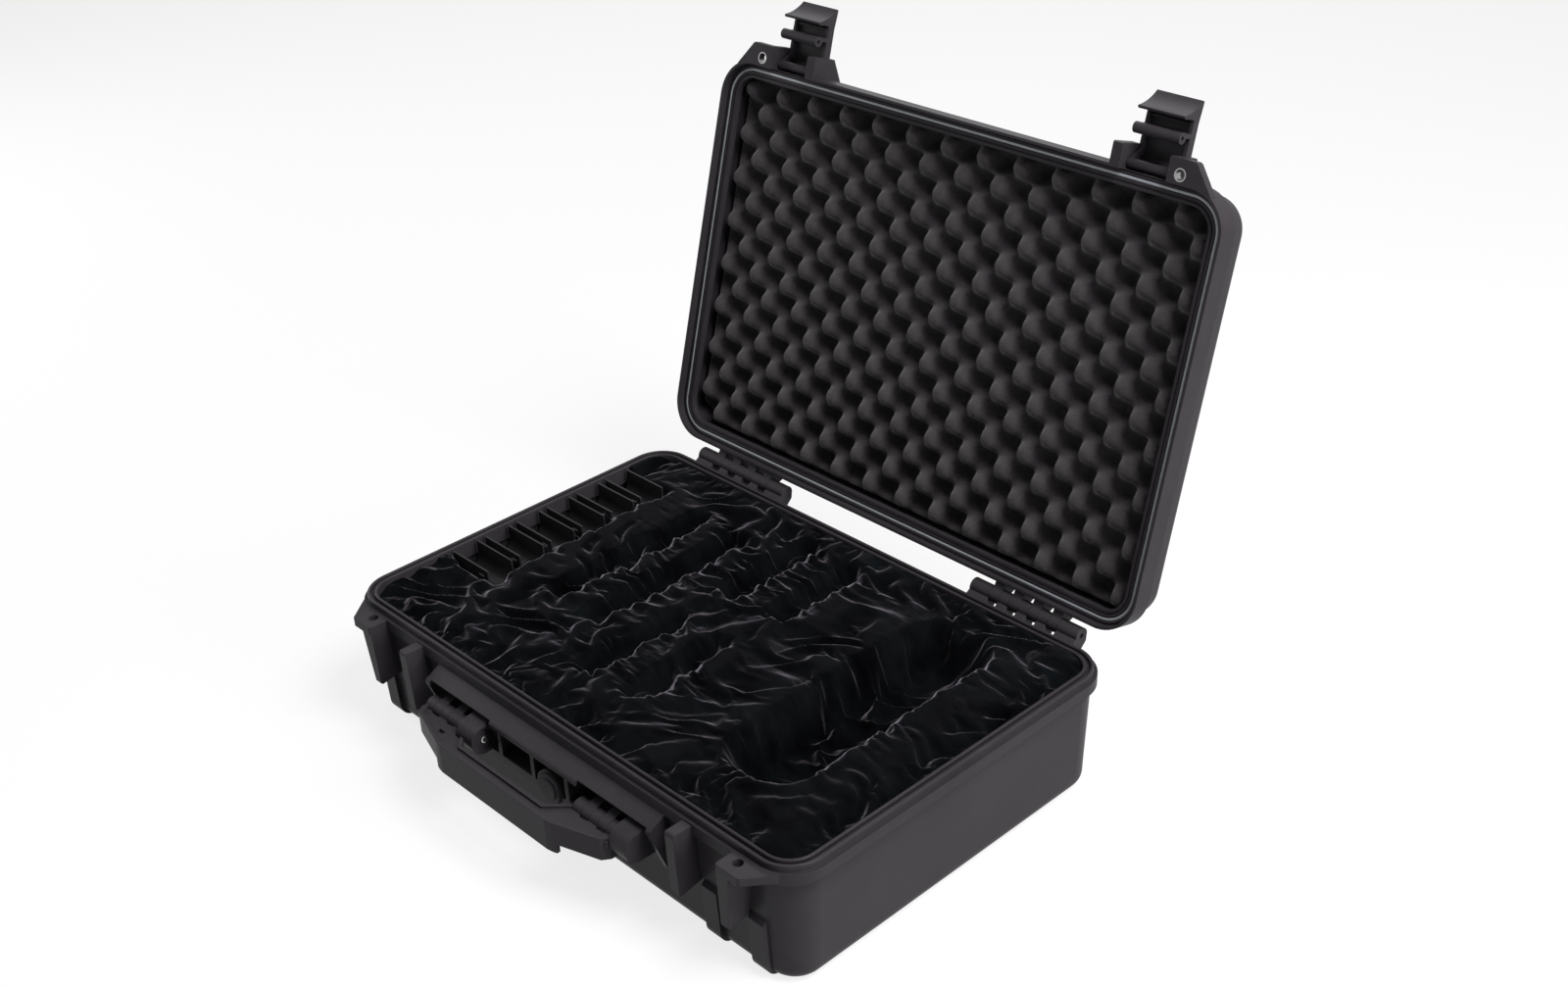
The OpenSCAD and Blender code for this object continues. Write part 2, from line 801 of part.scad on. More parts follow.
module valve_seal() {
    color([0.05, 0.05, 0.05])
    translate([valve_x, shoulder_y + wall + 2, pocket_z])
        rotate([90, 0, 0])
            difference() {
                cylinder(d = valve_d - 1, h = 1.4);
                translate([0, 0, -1])
                    cylinder(d = valve_d - 7, h = 4);
            }
}

module hinge_pin() {
    color([0.6, 0.6, 0.62])
    bar(hinge_in + 4.2, hinge_in + hinge_l - 1.5, hinge_y, hinge_z, hinge_pin_d);
}

module handle_pin(x) {
    color([0.65, 0.65, 0.67])
    bar(x + 1, x + row_l - side_fit - 6.2, pivot_y, pivot_z, pivot_pin_d);
}

// ---- handle ----

// Outline of the handle from above, grown by g: a shallow trapezoid
module handle_outline(g) {
    end_hw = (row_x[1] - row_x[0] + 5 * pivot_knuckle) / 2;
    polygon([
        [handle_x - end_hw - g, pivot_y + pivot_d / 4],
        [handle_x - end_hw - g, pivot_y - 12 - g],
        [handle_x - end_hw + 5 - g, pivot_y - 19 - g],
        [handle_x - grip_l / 2, pivot_y - grip_out + 1 - g],
        [handle_x - grip_l / 2 + 6, pivot_y - grip_out - g],
        [handle_x + grip_l / 2 - 6, pivot_y - grip_out - g],
        [handle_x + grip_l / 2, pivot_y - grip_out + 1 - g],
        [handle_x + end_hw - 5 + g, pivot_y - 19 - g],
        [handle_x + end_hw + g, pivot_y - 12 - g],
        [handle_x + end_hw + g, pivot_y + pivot_d / 4]
    ]);
}

// Outline of the finger opening, shrunk by g
module finger_outline(g) {
    end_hw = (row_x[1] - row_x[0] + 5 * pivot_knuckle) / 2 - 5 * pivot_knuckle;
    front = pivot_y - grip_out + grip_t;
    polygon([
        [handle_x - end_hw + g, pivot_y + pivot_d],
        [handle_x - end_hw + g, pivot_y - 4],
        [handle_x - end_hw + 20 + g / 2, front + g],
        [handle_x + end_hw - 20 - g / 2, front + g],
        [handle_x + end_hw - g, pivot_y - 4],
        [handle_x + end_hw - g, pivot_y + pivot_d]
    ]);
}

module handle() {
    top_z = pivot_z + 4;
    rim = 2.4;              // height of the raised edges above the plate
    boss_clear = boss_d / 2 + 1.5;
    color([0.14, 0.14, 0.15])
    difference() {
        union() {
            // plate
            translate([0, 0, top_z - rim - handle_wall])
                linear_extrude(handle_wall)
                    difference() {
                        handle_outline(0);
                        finger_outline(0);
                    }
            // outer band, deeper along the grip
            translate([0, 0, top_z - arm_h])
                linear_extrude(arm_h)
                    difference() {
                        handle_outline(0);
                        handle_outline(-handle_wall);
                    }
            intersection() {
                translate([0, 0, top_z - grip_h])
                    linear_extrude(grip_h)
                        difference() {
                            handle_outline(0);
                            handle_outline(-handle_wall);
                        }
                translate([handle_x - grip_l / 2 - 4, fin_y - 2 * grip_out, 0])
                    cube([grip_l + 8, 3 * grip_out, base_h]);
            }
            // raised edge round the finger opening, on the grip's inner side
            intersection() {
                translate([0, 0, top_z - 18])
                    linear_extrude(18)
                        difference() {
                            finger_outline(-handle_wall);
                            finger_outline(0);
                        }
                translate([handle_x - case_w / 2, pivot_y - grip_out, 0])
                    cube([case_w, grip_out - 2, base_h]);
            }
            for (x = row_x)
                for (k = [0, 2, 4]) {
                    x0 = x + k * pivot_knuckle + (k == 0 ? 0 : side_fit);
                    x1 = x + (k + 1) * pivot_knuckle - side_fit;
                    bar(x0, x1, pivot_y, pivot_z, pivot_d);
                    translate([x0, pivot_y - 16, pivot_z - 4.5])
                        cube([x1 - x0, 16, 6]);
                }
        }
        for (x = row_x) {
            bar(x - 5, x + row_l, pivot_y, pivot_z, pivot_pin_d + 2 * run_fit);
            // room for the base's knuckles and for the pin boss
            for (k = [1, 3])
                bar(x + k * pivot_knuckle, x + (k + 1) * pivot_knuckle, pivot_y, pivot_z,
                    pivot_d + 3);
            bar(x + 5 * pivot_knuckle, x + 5 * pivot_knuckle + boss_l + 1, pivot_y, pivot_z,
                2 * boss_clear);
        }
        // slot in the plate's left end
        translate([handle_x - grip_l / 2 - 14, pivot_y - grip_out / 2 - 5, 0])
            cube([8, 3.5, base_h]);
        // the inner edge is cut back beside the hinges, to pass the shelf when the handle folds
        translate([row_x[0] + 5 * pivot_knuckle, pivot_y - 17, 0])
            cube([pivot_pitch - 5 * pivot_knuckle, 40, pivot_z - 3]);
        // the band ends in front of the wall
        translate([-case_w / 2, pivot_y + pivot_d / 2 + 0.2, 0])
            cube([case_w, 40, base_h]);
    }
}

// ---- lid, drawn closed ----

module lid_section() {
    top = lid_wall_z;
    difference() {
        union() {
            translate([rim_gap, seat_z + 0.3])
                square([flange_out - rim_gap, ridge_h + 2]);
            translate([-lid_rim_w, base_h + rim_gap])
                square([lid_rim_w + flange_out, 6]);
            translate([-wall_in - wall, base_h + 2])
                square([wall_in + wall + flange_out, lid_rim_h - 2]);
        }
        translate([-rim_w / 2, base_h + rim_gap + seal_d / 2 - 0.2])
            circle(d = seal_d + 0.1);
        // fine channels beside the sealing cord
        for (u = [-rim_w - 0.6, -1])
            translate([u, base_h + rim_gap - eps])
                square([1.2, 1.2]);
    }
    polygon([
        [-wall_in, base_h + lid_rim_h - 1],
        [-wall_in - lid_draft, top - edge_r],
        [-wall_in - lid_draft - wall, top - edge_r],
        [-wall_in - lid_draft - wall, base_h + 6],
        [-wall_in, base_h + 6]
    ]);
    translate([-wall_in - lid_draft - edge_r, top - edge_r])
        intersection() {
            difference() {
                circle(edge_r);
                circle(edge_r - wall);
            }
            square(edge_r);
        }
    translate([-wall_in - lid_draft - edge_r - 1, top - wall])
        square([1 + eps, wall]);
}

module lid_top() {
    inset = wall_in + lid_draft + edge_r;
    translate([0, 0, lid_wall_z - wall])
        plate(rx - inset, ry - inset, corner_r - inset, wall);
}

// Upright web of the lid beside a latch, from x0 to x1, in line with the base's fin or lug
module lid_web(x0, x1) {
    side_plate(x0, x1)
        polygon([
            [-ry - rim_gap - 1, seat_z + side_fit],
            [fin_y + 1, seat_z + side_fit],
            [fin_y, seat_z + 2],
            [fin_y + 1, base_h + lid_rim_h + 6],
            [-ry + wall_in + lid_draft, lid_wall_z - edge_r + 3],
            [-ry + wall_in + 1, base_h + 6],
            [-ry - rim_gap - 1, base_h + 6]
        ]);
}

module lid_lug() {
    lid_web(bay_out, bay_out + fin_t - 2);
    difference() {
        translate([0, 0, seat_z + side_fit])
            linear_extrude(lug_t)
                lug_outline();
        // the ridge and its seal run through here
        translate([0, 0, seat_z - 1])
            plate(rx + rim_gap, ry + rim_gap, corner_r + rim_gap, ridge_h + 7);
    }
}

module lid_knuckles() {
    for (k = [0 : hinge_lid_n - 1]) {
        x0 = hinge_in + hinge_end_l + 2 * k * hinge_pitch + side_fit;
        x1 = x0 + hinge_pitch - 2 * side_fit;
        bar(x0, x1, hinge_y, hinge_z, knuckle_d);
        side_plate(x0, x1)
            polygon([
                [hinge_y, hinge_z + knuckle_d / 2],
                [hinge_y + knuckle_d / 2 - 1, hinge_z + 2],
                [hinge_y - 2, hinge_z - 4],
                [ry + flange_out + 2, seat_z + 3],
                [ry + flange_out - 1, seat_z + 3],
                [ry + flange_out - 1, base_h + lid_rim_h + 8],
                [ry + flange_out + 2, base_h + lid_rim_h + 8]
            ]);
    }
}

module lid_shell() {
    color([0.13, 0.13, 0.14])
    on_open_lid()
    difference() {
        union() {
            swept(rx, ry, corner_r)
                lid_section();
            lid_top();
            both_sides() {
                lid_web(bay_in - fin_t, bay_in);
                lid_lug();
                lid_knuckles();
            }
        }
        both_sides() {
            bar(hinge_in, hinge_in + hinge_l, hinge_y, hinge_z, hinge_pin_d + 2 * run_fit);
            bar(bay_in - fin_t + 4, bay_out + 5, latch_y, latch_z, latch_pin_d + 2 * run_fit);
            translate([lug_x, -ry - lug_out, seat_z - lug_t])
                cylinder(d = lug_hole_d + 2 * (eyelet_t + run_fit), h = 3 * lug_t);
            // bay for the lever, whose knuckle turns against the rim
            translate([bay_in, fin_y, seat_z - 1])
                cube([bay_out - bay_in, fin_out - rim_gap, lid_wall_z - seat_z]);
            bar(bay_in, bay_out, latch_y, latch_z, latch_pin_d + 8);
        }
    }
}

// Steel eyelet that lines the padlock hole in the lid's lug
module lug_eyelet() {
    color([0.62, 0.62, 0.64])
    on_open_lid()
        translate([lug_x, -ry - lug_out, seat_z + side_fit])
            difference() {
                cylinder(d = lug_hole_d + 2 * eyelet_t, h = lug_t);
                translate([0, 0, -1])
                    cylinder(d = lug_hole_d, h = lug_t + 2);
            }
}

module lid_seal() {
    color([0.45, 0.46, 0.48])
    on_open_lid()
        swept(rx, ry, corner_r)
            translate([-rim_w / 2, base_h + rim_gap + seal_d / 2 - 0.2])
                circle(d = seal_d);
}

// Egg-crate foam: peaks and valleys in turn, facing down when the lid is shut
module lid_foam() {
    hx = rx - lid_rim_w - 2 * side_fit;
    hy = ry - lid_rim_w - 2 * side_fit;
    corner = corner_r - lid_rim_w;
    back = lid_wall_z - wall - 4 * side_fit;
    mid = base_h + foam_tip + foam_wave / 2;
    nx = 2 * floor(2 * hx / foam_pitch + 0.5);
    ny = 2 * floor(2 * hy / foam_pitch + 0.5);
    // Corner points of the cells stand on peaks and in valleys, the cells' centres halfway
    corners = [for (j = [0 : ny]) for (i = [0 : nx])
        concat(rounded(-hx + 2 * hx * i / nx, -hy + 2 * hy * j / ny, hx, hy, corner),
            [mid + foam_wave / 2 * ((i + j) % 2 == 0 ? -1 : 1)])];
    centres = [for (j = [0 : ny - 1]) for (i = [0 : nx - 1])
        [-hx + 2 * hx * (i + 0.5) / nx, -hy + 2 * hy * (j + 0.5) / ny, mid]];
    row = nx + 1;
    c0 = len(corners);
    rim = concat(
        [for (i = [0 : nx - 1]) i],
        [for (j = [0 : ny - 1]) j * row + nx],
        [for (i = [0 : nx - 1]) ny * row + nx - i],
        [for (j = [0 : ny - 1]) (ny - j) * row]);
    rim_n = len(rim);
    b0 = c0 + len(centres);
    backs = concat([for (k = rim) [corners[k][0], corners[k][1], back]], [[0, 0, back]]);
    faces = concat(
        [for (j = [0 : ny - 1]) for (i = [0 : nx - 1])
            let (a = j * row + i, c = c0 + j * nx + i)
            each [[a, a + 1, c], [a + 1, a + row + 1, c], [a + row + 1, a + row, c], [a + row, a, c]]],
        [for (k = [0 : rim_n - 1])
            let (m = (k + 1) % rim_n)
            each [[rim[m], rim[k], b0 + k], [rim[m], b0 + k, b0 + m], [b0 + m, b0 + k, b0 + rim_n]]]);
    color([0.2, 0.19, 0.19])
    on_open_lid()
        polyhedron(concat(corners, centres, backs), faces);
}

// ---- latch levers, drawn shut-lid open-lever, then turned with the lid ----

// Side outline of the lever: X runs along the lever from its pivot, Y away from the case
module lever_side() {
    inner = lever_n - lever_t;
    difference() {
        union() {
            // plate
            translate([4, inner])
                square([lever_l - 10, lever_t]);
            // finger tab
            polygon([
                [lever_l - 14, inner + 1],
                [lever_l - 10, inner - 2],
                [lever_l - 9, 4],
                [lever_l - 9, -hook_in - 2],
                [lever_l - 7.5, -hook_in - 3.2],
                [lever_l - 6, -hook_in - 2.6],
                [lever_l + 6.5, lever_n + 0.6],
                [lever_l + 5, lever_n + 1.5],
                [lever_l - 2, lever_n + 1],
                [lever_l - 12, lever_n]
            ]);
            // bead that hooks under the base's flange, and its neck
            translate([hook_reach, -hook_in])
                circle(d = hook_d);
            translate([hook_reach, -hook_in])
                square([hook_d / 2 - 1, inner + hook_in + 1]);
            // wall that closes the lever at its pivot
            polygon([
                [-4.4, 0],
                [-2.6, 4],
                [1, lever_n - 2],
                [3, lever_n],
                [6, lever_n],
                [6, inner],
                [4, inner - 1],
                [0.5, 4],
                [0, 0]
            ]);
        }
        // the tab's end is hollow
        translate([lever_l + 32.7, lever_n / 2 - 20.9])
            circle(r = 40);
        // hollow end of the bead
        translate([hook_reach, -hook_in])
            circle(d = hook_d - 6);
    }
}

// End arms of the lever, from its pivot knuckle to the plate
module lever_arm() {
    circle(d = latch_pin_d + 5);
    polygon([
        [-4.4, 0],
        [4.4, -1],
        [14, lever_n - lever_t - 4],
        [lever_l - 8, lever_n - lever_t - 3],
        [lever_l - 4, lever_n - lever_t + 1],
        [lever_l - 4, lever_n - 1],
        [lever_l - 10, lever_n],
        [3, lever_n],
        [1, lever_n - 2],
        [-2.6, 4]
    ]);
}

module lever() {
    arm_t = 3;
    difference() {
        union() {
            linear_extrude(latch_w)
                lever_side();
            for (z = [0, latch_w - arm_t])
                translate([0, 0, z])
                    linear_extrude(arm_t)
                        lever_arm();
            cylinder(d = latch_pin_d + 5, h = latch_w);
            // stiffening rib across the plate's inner side
            translate([hook_reach + 10, lever_n - lever_t - 2, 0])
                cube([2, 3, latch_w]);
        }
        translate([0, 0, -1])
            cylinder(d = latch_pin_d + 2 * run_fit, h = latch_w + 2);
    }
}

// Places the lever at its pivot, pointing forward in the plane of the closed lid
module lever_in_place() {
    translate([bay_in + side_fit, latch_y, latch_z])
        rotate([0, 0, 180])
            mirror([1, 0, 0])
                rotate([90, 0, 90])
                    lever();
}

module latch_lever() {
    color([0.15, 0.15, 0.16])
    on_open_lid()
        lever_in_place();
}

module latch_pin() {
    color([0.6, 0.6, 0.62])
    on_open_lid()
        bar(bay_in - fin_t + 4.2, bay_out + 4.8, latch_y, latch_z, latch_pin_d);
}

base_shell();
mirror([1, 0, 0]) base_lug();  // base_lug_left
base_lug();  // base_lug_right
foam_tray();
foam_pad();
clip_shelf();
velvet_lining();
clip(0);  // clip_1
clip(1);  // clip_2
clip(2);  // clip_3
clip(3);  // clip_4
clip(4);  // clip_5
clip(5);  // clip_6
valve_plug();
valve_seal();
mirror([1, 0, 0]) hinge_pin();  // hinge_pin_left
hinge_pin();  // hinge_pin_right
handle();
handle_pin(row_x[0]);  // handle_pin_left
handle_pin(row_x[1]);  // handle_pin_right
lid_shell();
lid_seal();
lid_foam();
mirror([1, 0, 0]) lug_eyelet();  // lug_eyelet_left
lug_eyelet();  // lug_eyelet_right
mirror([1, 0, 0]) latch_lever();  // latch_left
latch_lever();  // latch_right
mirror([1, 0, 0]) latch_pin();  // latch_pin_left
latch_pin();  // latch_pin_right
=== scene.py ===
"""Looks of the hinged microphone case: velvet, foam, moulded plastic, steel, floor and light."""

import math

import bmesh
import bpy
import numpy as np
from mathutils import Matrix, Vector


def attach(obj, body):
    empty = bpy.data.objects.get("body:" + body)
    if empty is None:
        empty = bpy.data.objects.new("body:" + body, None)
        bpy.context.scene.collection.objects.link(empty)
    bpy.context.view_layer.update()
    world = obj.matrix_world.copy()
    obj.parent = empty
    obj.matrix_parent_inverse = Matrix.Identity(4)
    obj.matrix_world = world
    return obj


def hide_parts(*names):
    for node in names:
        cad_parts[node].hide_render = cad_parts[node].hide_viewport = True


bl_info = {
    "name": "Microphone case dressing",
    "version": (1, 0, 0),
    "blender": (4, 5, 0),
    "location": "View3D > Sidebar > Case",
    "description": "Dresses the CAD frame of a hinged microphone case",
    "category": "Object",
}

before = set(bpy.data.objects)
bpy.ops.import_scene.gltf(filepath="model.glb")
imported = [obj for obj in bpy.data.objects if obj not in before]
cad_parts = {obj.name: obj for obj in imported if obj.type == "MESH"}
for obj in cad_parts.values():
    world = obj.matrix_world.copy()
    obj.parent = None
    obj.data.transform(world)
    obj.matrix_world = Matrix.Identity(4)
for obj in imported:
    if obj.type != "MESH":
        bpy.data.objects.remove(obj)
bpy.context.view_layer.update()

# All lengths are in metres, in the frame's own axes.

# base, rim and hinge
RIM_Z = 0.122                   # top of the sealing ridge
RIM_HALF = (0.2776, 0.1781)     # half width and half depth inside the rim
RIM_ROUND = 0.0236              # radius of the rim's corners
HINGE = (0.2045, 0.1195)        # y and z of the lid's axis
LID_ANGLE = math.radians(105.4)
BOSS_END = (-0.0648, -0.2085, 0.078, 0.014)     # left handle boss: x of its end, y and z, radius

# foam insert under the velvet
TRAY_TOP = 0.110
TRAY_HALF = (0.2760, 0.1765)    # half width and half depth
TRAY_FOOT = 0.0045              # height of its underside
TRAY_TAPER_TOP = 0.020          # below this height its sides draw in
TRAY_TAPER = (0.952, 0.925)     # width and depth of the underside, as shares of the top's
SLIM_POCKETS = [                # middle x and y, and length
    (-0.152, 0.030, 0.192),
    (-0.098, 0.030, 0.192),
    (-0.0385, 0.101, 0.118),
    (0.0215, 0.101, 0.118),
    (-0.0385, -0.061, 0.118),
    (0.0215, -0.061, 0.118),
]
SLIM_WIDE = 0.0275
SLIM_DEPTH = 0.0122
LARGE_POCKET = (0.168, 0.010, 0.084, 0.260)     # middle x and y, width and length
LARGE_DEPTH = 0.0412
CORNER_DIP = (-0.222, -0.125, 0.040, 0.036, 0.0100)     # middle x and y, reach both ways, depth

# clips
CLIP_END = -0.2202              # x where their troughs end
CLIP_MIDDLE = 0.022             # y of the middle of their row
CLIP_PITCH = 0.037
CLIP_COUNT = 6
CLIP_LOW = 0.093                # lowest height of a trough
CLIP_WIDE = 0.029
GROOVE_GAP = 0.0024             # between a trough and the groove in the foam

# velvet
CLOTH_GAP = 0.0008              # between the cloth's edge and the rim
CLOTH_REST = 0.0012             # height over the foam before the cloth settles
FOLD_SPACING = 0.0185           # between the main folds round a pocket
FOLD_REACH = 0.036
CREASE_SPACING = 0.0075         # between the small creases round a pocket
CREASE_REACH = 0.014
CREASE_SHARE = 0.18             # height of the small creases, as a share of the main folds'
VELVET_NAP = (0.006, 0.0078, 0.0085)    # colour of the velvet where its pile is brushed up
SETTLE_FRAMES = 14
CLOTH_SETTINGS = {
    "quality": 5,
    "mass": 0.0001,
    "air_damping": 4.0,
    "tension_stiffness": 10,
    "compression_stiffness": 10,
    "shear_stiffness": 4,
    "bending_stiffness": 2.0,
    "tension_damping": 5,
    "compression_damping": 5,
    "bending_damping": 0.5,
}

# lid foam, on the closed lid
FOAM_HALF = (0.2735, 0.1740)    # half width and half depth
FOAM_CORNER = 0.0195
FOAM_TIP = RIM_Z + 0.0045       # height of the peaks' tips
FOAM_BACK = 0.1628              # height of its flat back
FOAM_TIPS = (0.048, 0.042, 0.046)       # colour of the open pores where they catch light

# floor, lamps and camera
FLOOR_HALF = 6.0
FLOOR_Z = -0.0005
LAMPS = (                       # name, place, what it points at, size and power
    ("Key", (1.5, 0.2, 2.5), (0, 0, 0.1), 1.2, 122.0),
    ("Fill", (0.3, -2.0, 2.6), (0, 0, 0.2), 1.0, 3.5),
    ("Side", (2.6, 0.3, 0.9), (0.2, 0, 0.05), 0.9, 56.0),
    ("Back", (-1.4, 1.8, 2.0), (0, 0, 0.15), 1.2, 22.0),
    ("Rake", (-2.4, -0.5, 0.95), (0, 0, 0.12), 0.8, 25.0),
)
CAMERA_TURN = (47.3, 29.8, -2.5)        # azimuth, elevation and roll in degrees
CAMERA_PLACE = (0.06012, 0.11424, 1.7070)       # to the right, up and back from the rim's middle
SENSOR_WIDTH = 36.0             # in millimetres, as the lens
LENS_SHARE = 1987.5 / 1600      # focal length over the width of the picture


# ---- node maths ----

class Sock:
    """A socket on which Python's operators add Math nodes."""

    def __init__(self, graph, out):
        self.graph = graph
        self.out = out

    def _math(self, op, a, b=None):
        vals = [v for v in (a, b) if v is not None]
        return self.graph.node("Math", {"operation": op}, vals)

    def __add__(self, o):
        return self._math("ADD", self, o)

    def __radd__(self, o):
        return self._math("ADD", o, self)

    def __sub__(self, o):
        return self._math("SUBTRACT", self, o)

    def __rsub__(self, o):
        return self._math("SUBTRACT", o, self)

    def __mul__(self, o):
        return self._math("MULTIPLY", self, o)

    def __rmul__(self, o):
        return self._math("MULTIPLY", o, self)

    def __truediv__(self, o):
        return self._math("DIVIDE", self, o)

    def clamp(self, low=0.0, high=1.0):
        return self.atleast(low).atmost(high)

    def atleast(self, o):
        return self._math("MAXIMUM", self, o)

    def atmost(self, o):
        return self._math("MINIMUM", self, o)

    def cosine(self):
        return self._math("COSINE", self)

    def root(self):
        return self._math("SQRT", self)

    def size(self):
        return self._math("ABSOLUTE", self)

    def sign(self):
        return self._math("SIGN", self)


class Graph:
    """A node tree under construction, of a material or of geometry."""

    def __init__(self, tree):
        self.tree = tree
        self.tree.nodes.clear()

    def node(self, kind, settings=None, values=None, out=0):
        """Adds a node: its type, its settings, then the values or links of its sockets."""
        made = self.tree.nodes.new(kind if "Node" in kind else "ShaderNode" + kind)
        for key, val in (settings or {}).items():
            setattr(made, key, val)
        items = enumerate(values) if isinstance(values, (list, tuple)) else (values or {}).items()
        for key, val in items:
            socket = made.inputs[key]
            if isinstance(val, Sock):
                self.tree.links.new(val.out, socket)
            else:
                socket.default_value = val
        if isinstance(out, tuple):
            return tuple(Sock(self, made.outputs[key]) for key in out)
        return Sock(self, made.outputs[out]) if made.outputs else made


class Finish(Graph):
    """A material under construction."""

    def __init__(self, name):
        self.material = bpy.data.materials.new(name)
        self.material.use_nodes = True
        super().__init__(self.material.node_tree)

    def place(self, scale=(1, 1, 1), turn=(0, 0, 0)):
        """Where a point lies on the object, scaled and turned if asked."""
        where = self.node("TexCoord", out="Object")
        if scale == (1, 1, 1) and turn == (0, 0, 0):
            return where
        return self.node("Mapping", None, {"Vector": where, "Scale": scale, "Rotation": turn})

    def noise(self, where, scale, detail=2.0, rough=0.5):
        return self.node("TexNoise", None, {
            "Vector": where, "Scale": scale, "Detail": detail, "Roughness": rough})

    def grain(self, where, scale):
        return self.node("TexVoronoi", {"feature": "F1"}, {"Vector": where, "Scale": scale})

    def blend(self, mask, dark, light):
        dark = dark if isinstance(dark, Sock) else (*dark, 1)
        light = light if isinstance(light, Sock) else (*light, 1)
        return self.node("Mix", {"data_type": "RGBA"}, {0: mask, 6: dark, 7: light}, out=2)

    def bump(self, height, strength, distance, normal=None):
        values = {"Height": height, "Strength": strength, "Distance": distance}
        if normal is not None:
            values["Normal"] = normal
        return self.node("Bump", None, values)

    def finish(self, **sockets):
        values = {key.replace("_", " "): val for key, val in sockets.items()}
        shader = self.node("BsdfPrincipled", None, values)
        self.node("OutputMaterial", None, {"Surface": shader})
        return self.material


def paler(colour, gain, lift):
    return tuple(min(1, c * gain + lift) for c in colour)


def moulded_plastic(name, colour, rough, grain_size, grain_depth, edge):
    """Black moulded plastic: spark-eroded grain, softly rounded edges, faint dust and flow marks.
    """
    f = Finish(name)
    where = f.place()
    soft_edge = f.node("Bevel", {"samples": 4}, {"Radius": edge})
    cells = f.grain(where, 1.0 / grain_size)
    fine = f.noise(where, 0.6 / grain_size, 3.0, 0.6)
    flow = f.noise(where, 9.0, 4.0, 0.55)
    dust = f.noise(where, 55.0, 5.0, 0.65)
    texture = cells * 0.6 + fine * 0.4
    normal = f.bump(texture, 0.35, grain_depth, soft_edge)
    shade = (flow * 0.8 + dust * 0.5 - 0.35).clamp()
    roughness = (rough - 0.06) + flow * 0.12 + (dust - 0.5) * 0.08
    return f.finish(
        Base_Color=f.blend(shade, colour, paler(colour, 1.7, 0.004)),
        Roughness=roughness.clamp(0.05, 1.0),
        Normal=normal,
        IOR=1.16,
    )


def steel(name, light):
    """Drawn steel with fine lines round the pin and a few darker spots."""
    f = Finish(name)
    lines = f.noise(f.place((6, 900, 900)), 1.0, 3.0, 0.6)
    spots = f.noise(f.place(), 240.0, 4.0, 0.6)
    return f.finish(
        Base_Color=f.blend(
            (lines * 0.6 + spots * 0.4).clamp(), (light * 0.6,) * 3, (light,) * 3),
        Metallic=1.0,
        Roughness=(0.2 + lines * 0.2).clamp(),
        Normal=f.bump(lines, 0.12, 0.0002),
    )


def seal_rubber(name, colour, rough):
    """Extruded rubber with a dull skin."""
    f = Finish(name)
    where = f.place()
    skin = f.noise(where, 900.0, 3.0, 0.6)
    patches = f.noise(where, 40.0, 4.0, 0.6)
    return f.finish(
        Base_Color=f.blend(
            (patches * 0.8 + skin * 0.3).clamp(), colour, paler(colour, 1.5, 0.01)),
        Roughness=(rough + patches * 0.15).clamp(),
        Normal=f.bump(skin, 0.25, 0.0002),
    )


def velvet_cloth(name, colour, nap):
    """Black velvet: a short pile that catches light at a glancing angle, brushed in patches."""
    f = Finish(name)
    where = f.place()
    brushed = f.noise(f.place((1, 1.6, 1)), 16.0, 5.0, 0.6)
    pile = f.noise(where, 1500.0, 2.0, 0.7)
    crease = f.noise(f.place((1, 2.2, 1), (0, 0, 0.5)), 60.0, 4.0, 0.6)
    shade = (brushed * 1.3 - 0.40 + (pile - 0.5) * 0.35).clamp()
    return f.finish(
        Base_Color=f.blend(shade, colour, nap),
        Roughness=(0.86 + (pile - 0.5) * 0.2).clamp(),
        Normal=f.bump(crease * 0.6 + pile * 0.25, 0.5, 0.0016),
        Sheen_Weight=0.62,
        Sheen_Roughness=0.26,
        Sheen_Tint=(0.66, 0.61, 0.70, 1.0),
        Specular_IOR_Level=0.0,
    )


def open_foam(name, colour, light):
    """Open-cell foam: tiny pores, and slightly paler tips that are a painted highlight where the
    pores catch light, paler in random patches too.
    """
    f = Finish(name)
    where = f.place()
    pores = f.grain(where, 520.0)
    cells = f.noise(where, 900.0, 3.0, 0.7)
    patches = f.noise(where, 30.0, 3.0, 0.5)
    # the paler colour is a painted highlight on the pores' tips, and it also varies in random
    # patches
    shade = (cells * 0.9 + patches * 0.4 - 0.25).clamp()
    return f.finish(
        Base_Color=f.blend(shade, colour, light),
        Roughness=(0.88 + cells * 0.1).clamp(),
        Normal=f.bump(pores * 0.6 + cells * 0.6, 0.7, 0.0009),
        Sheen_Weight=0.12,
        Sheen_Roughness=0.5,
        Specular_IOR_Level=0.2,
    )


def seen_directly(graph):
    """1 for what the camera sees, by itself or in metal and glass, and 0 for light that falls."""
    camera, glossy, through = graph.node(
        "LightPath", out=("Is Camera Ray", "Is Glossy Ray", "Is Transmission Ray"))
    return (camera + glossy + through).clamp()


def plain_stage(name, colour, white_share):
    """A pale floor that looks nearly white, keeps the case's shadow and lights it as paper."""
    f = Finish(name)
    plain = f.node("BsdfDiffuse", None, {"Color": (*colour, 1)})
    white = f.node("Emission", None, {"Color": (1, 1, 1, 1), "Strength": 1.0})
    mixed = f.node("MixShader", None, {0: seen_directly(f) * white_share, 1: plain, 2: white})
    f.node("OutputMaterial", None, {"Surface": mixed})
    return f.material


# ---- mesh helpers ----

def mesh_piece(name, points, faces, smooth=True, material=None):
    """A new object from points and faces, linked to the scene."""
    mesh = bpy.data.meshes.new(name)
    mesh.from_pydata([tuple(p) for p in points], [], [tuple(f) for f in faces])
    mesh.update()
    if smooth:
        shade_smooth(mesh)
    if material:
        mesh.materials.append(material)
    return linked(name, mesh)


def shade_smooth(mesh):
    mesh.polygons.foreach_set("use_smooth", [True] * len(mesh.polygons))


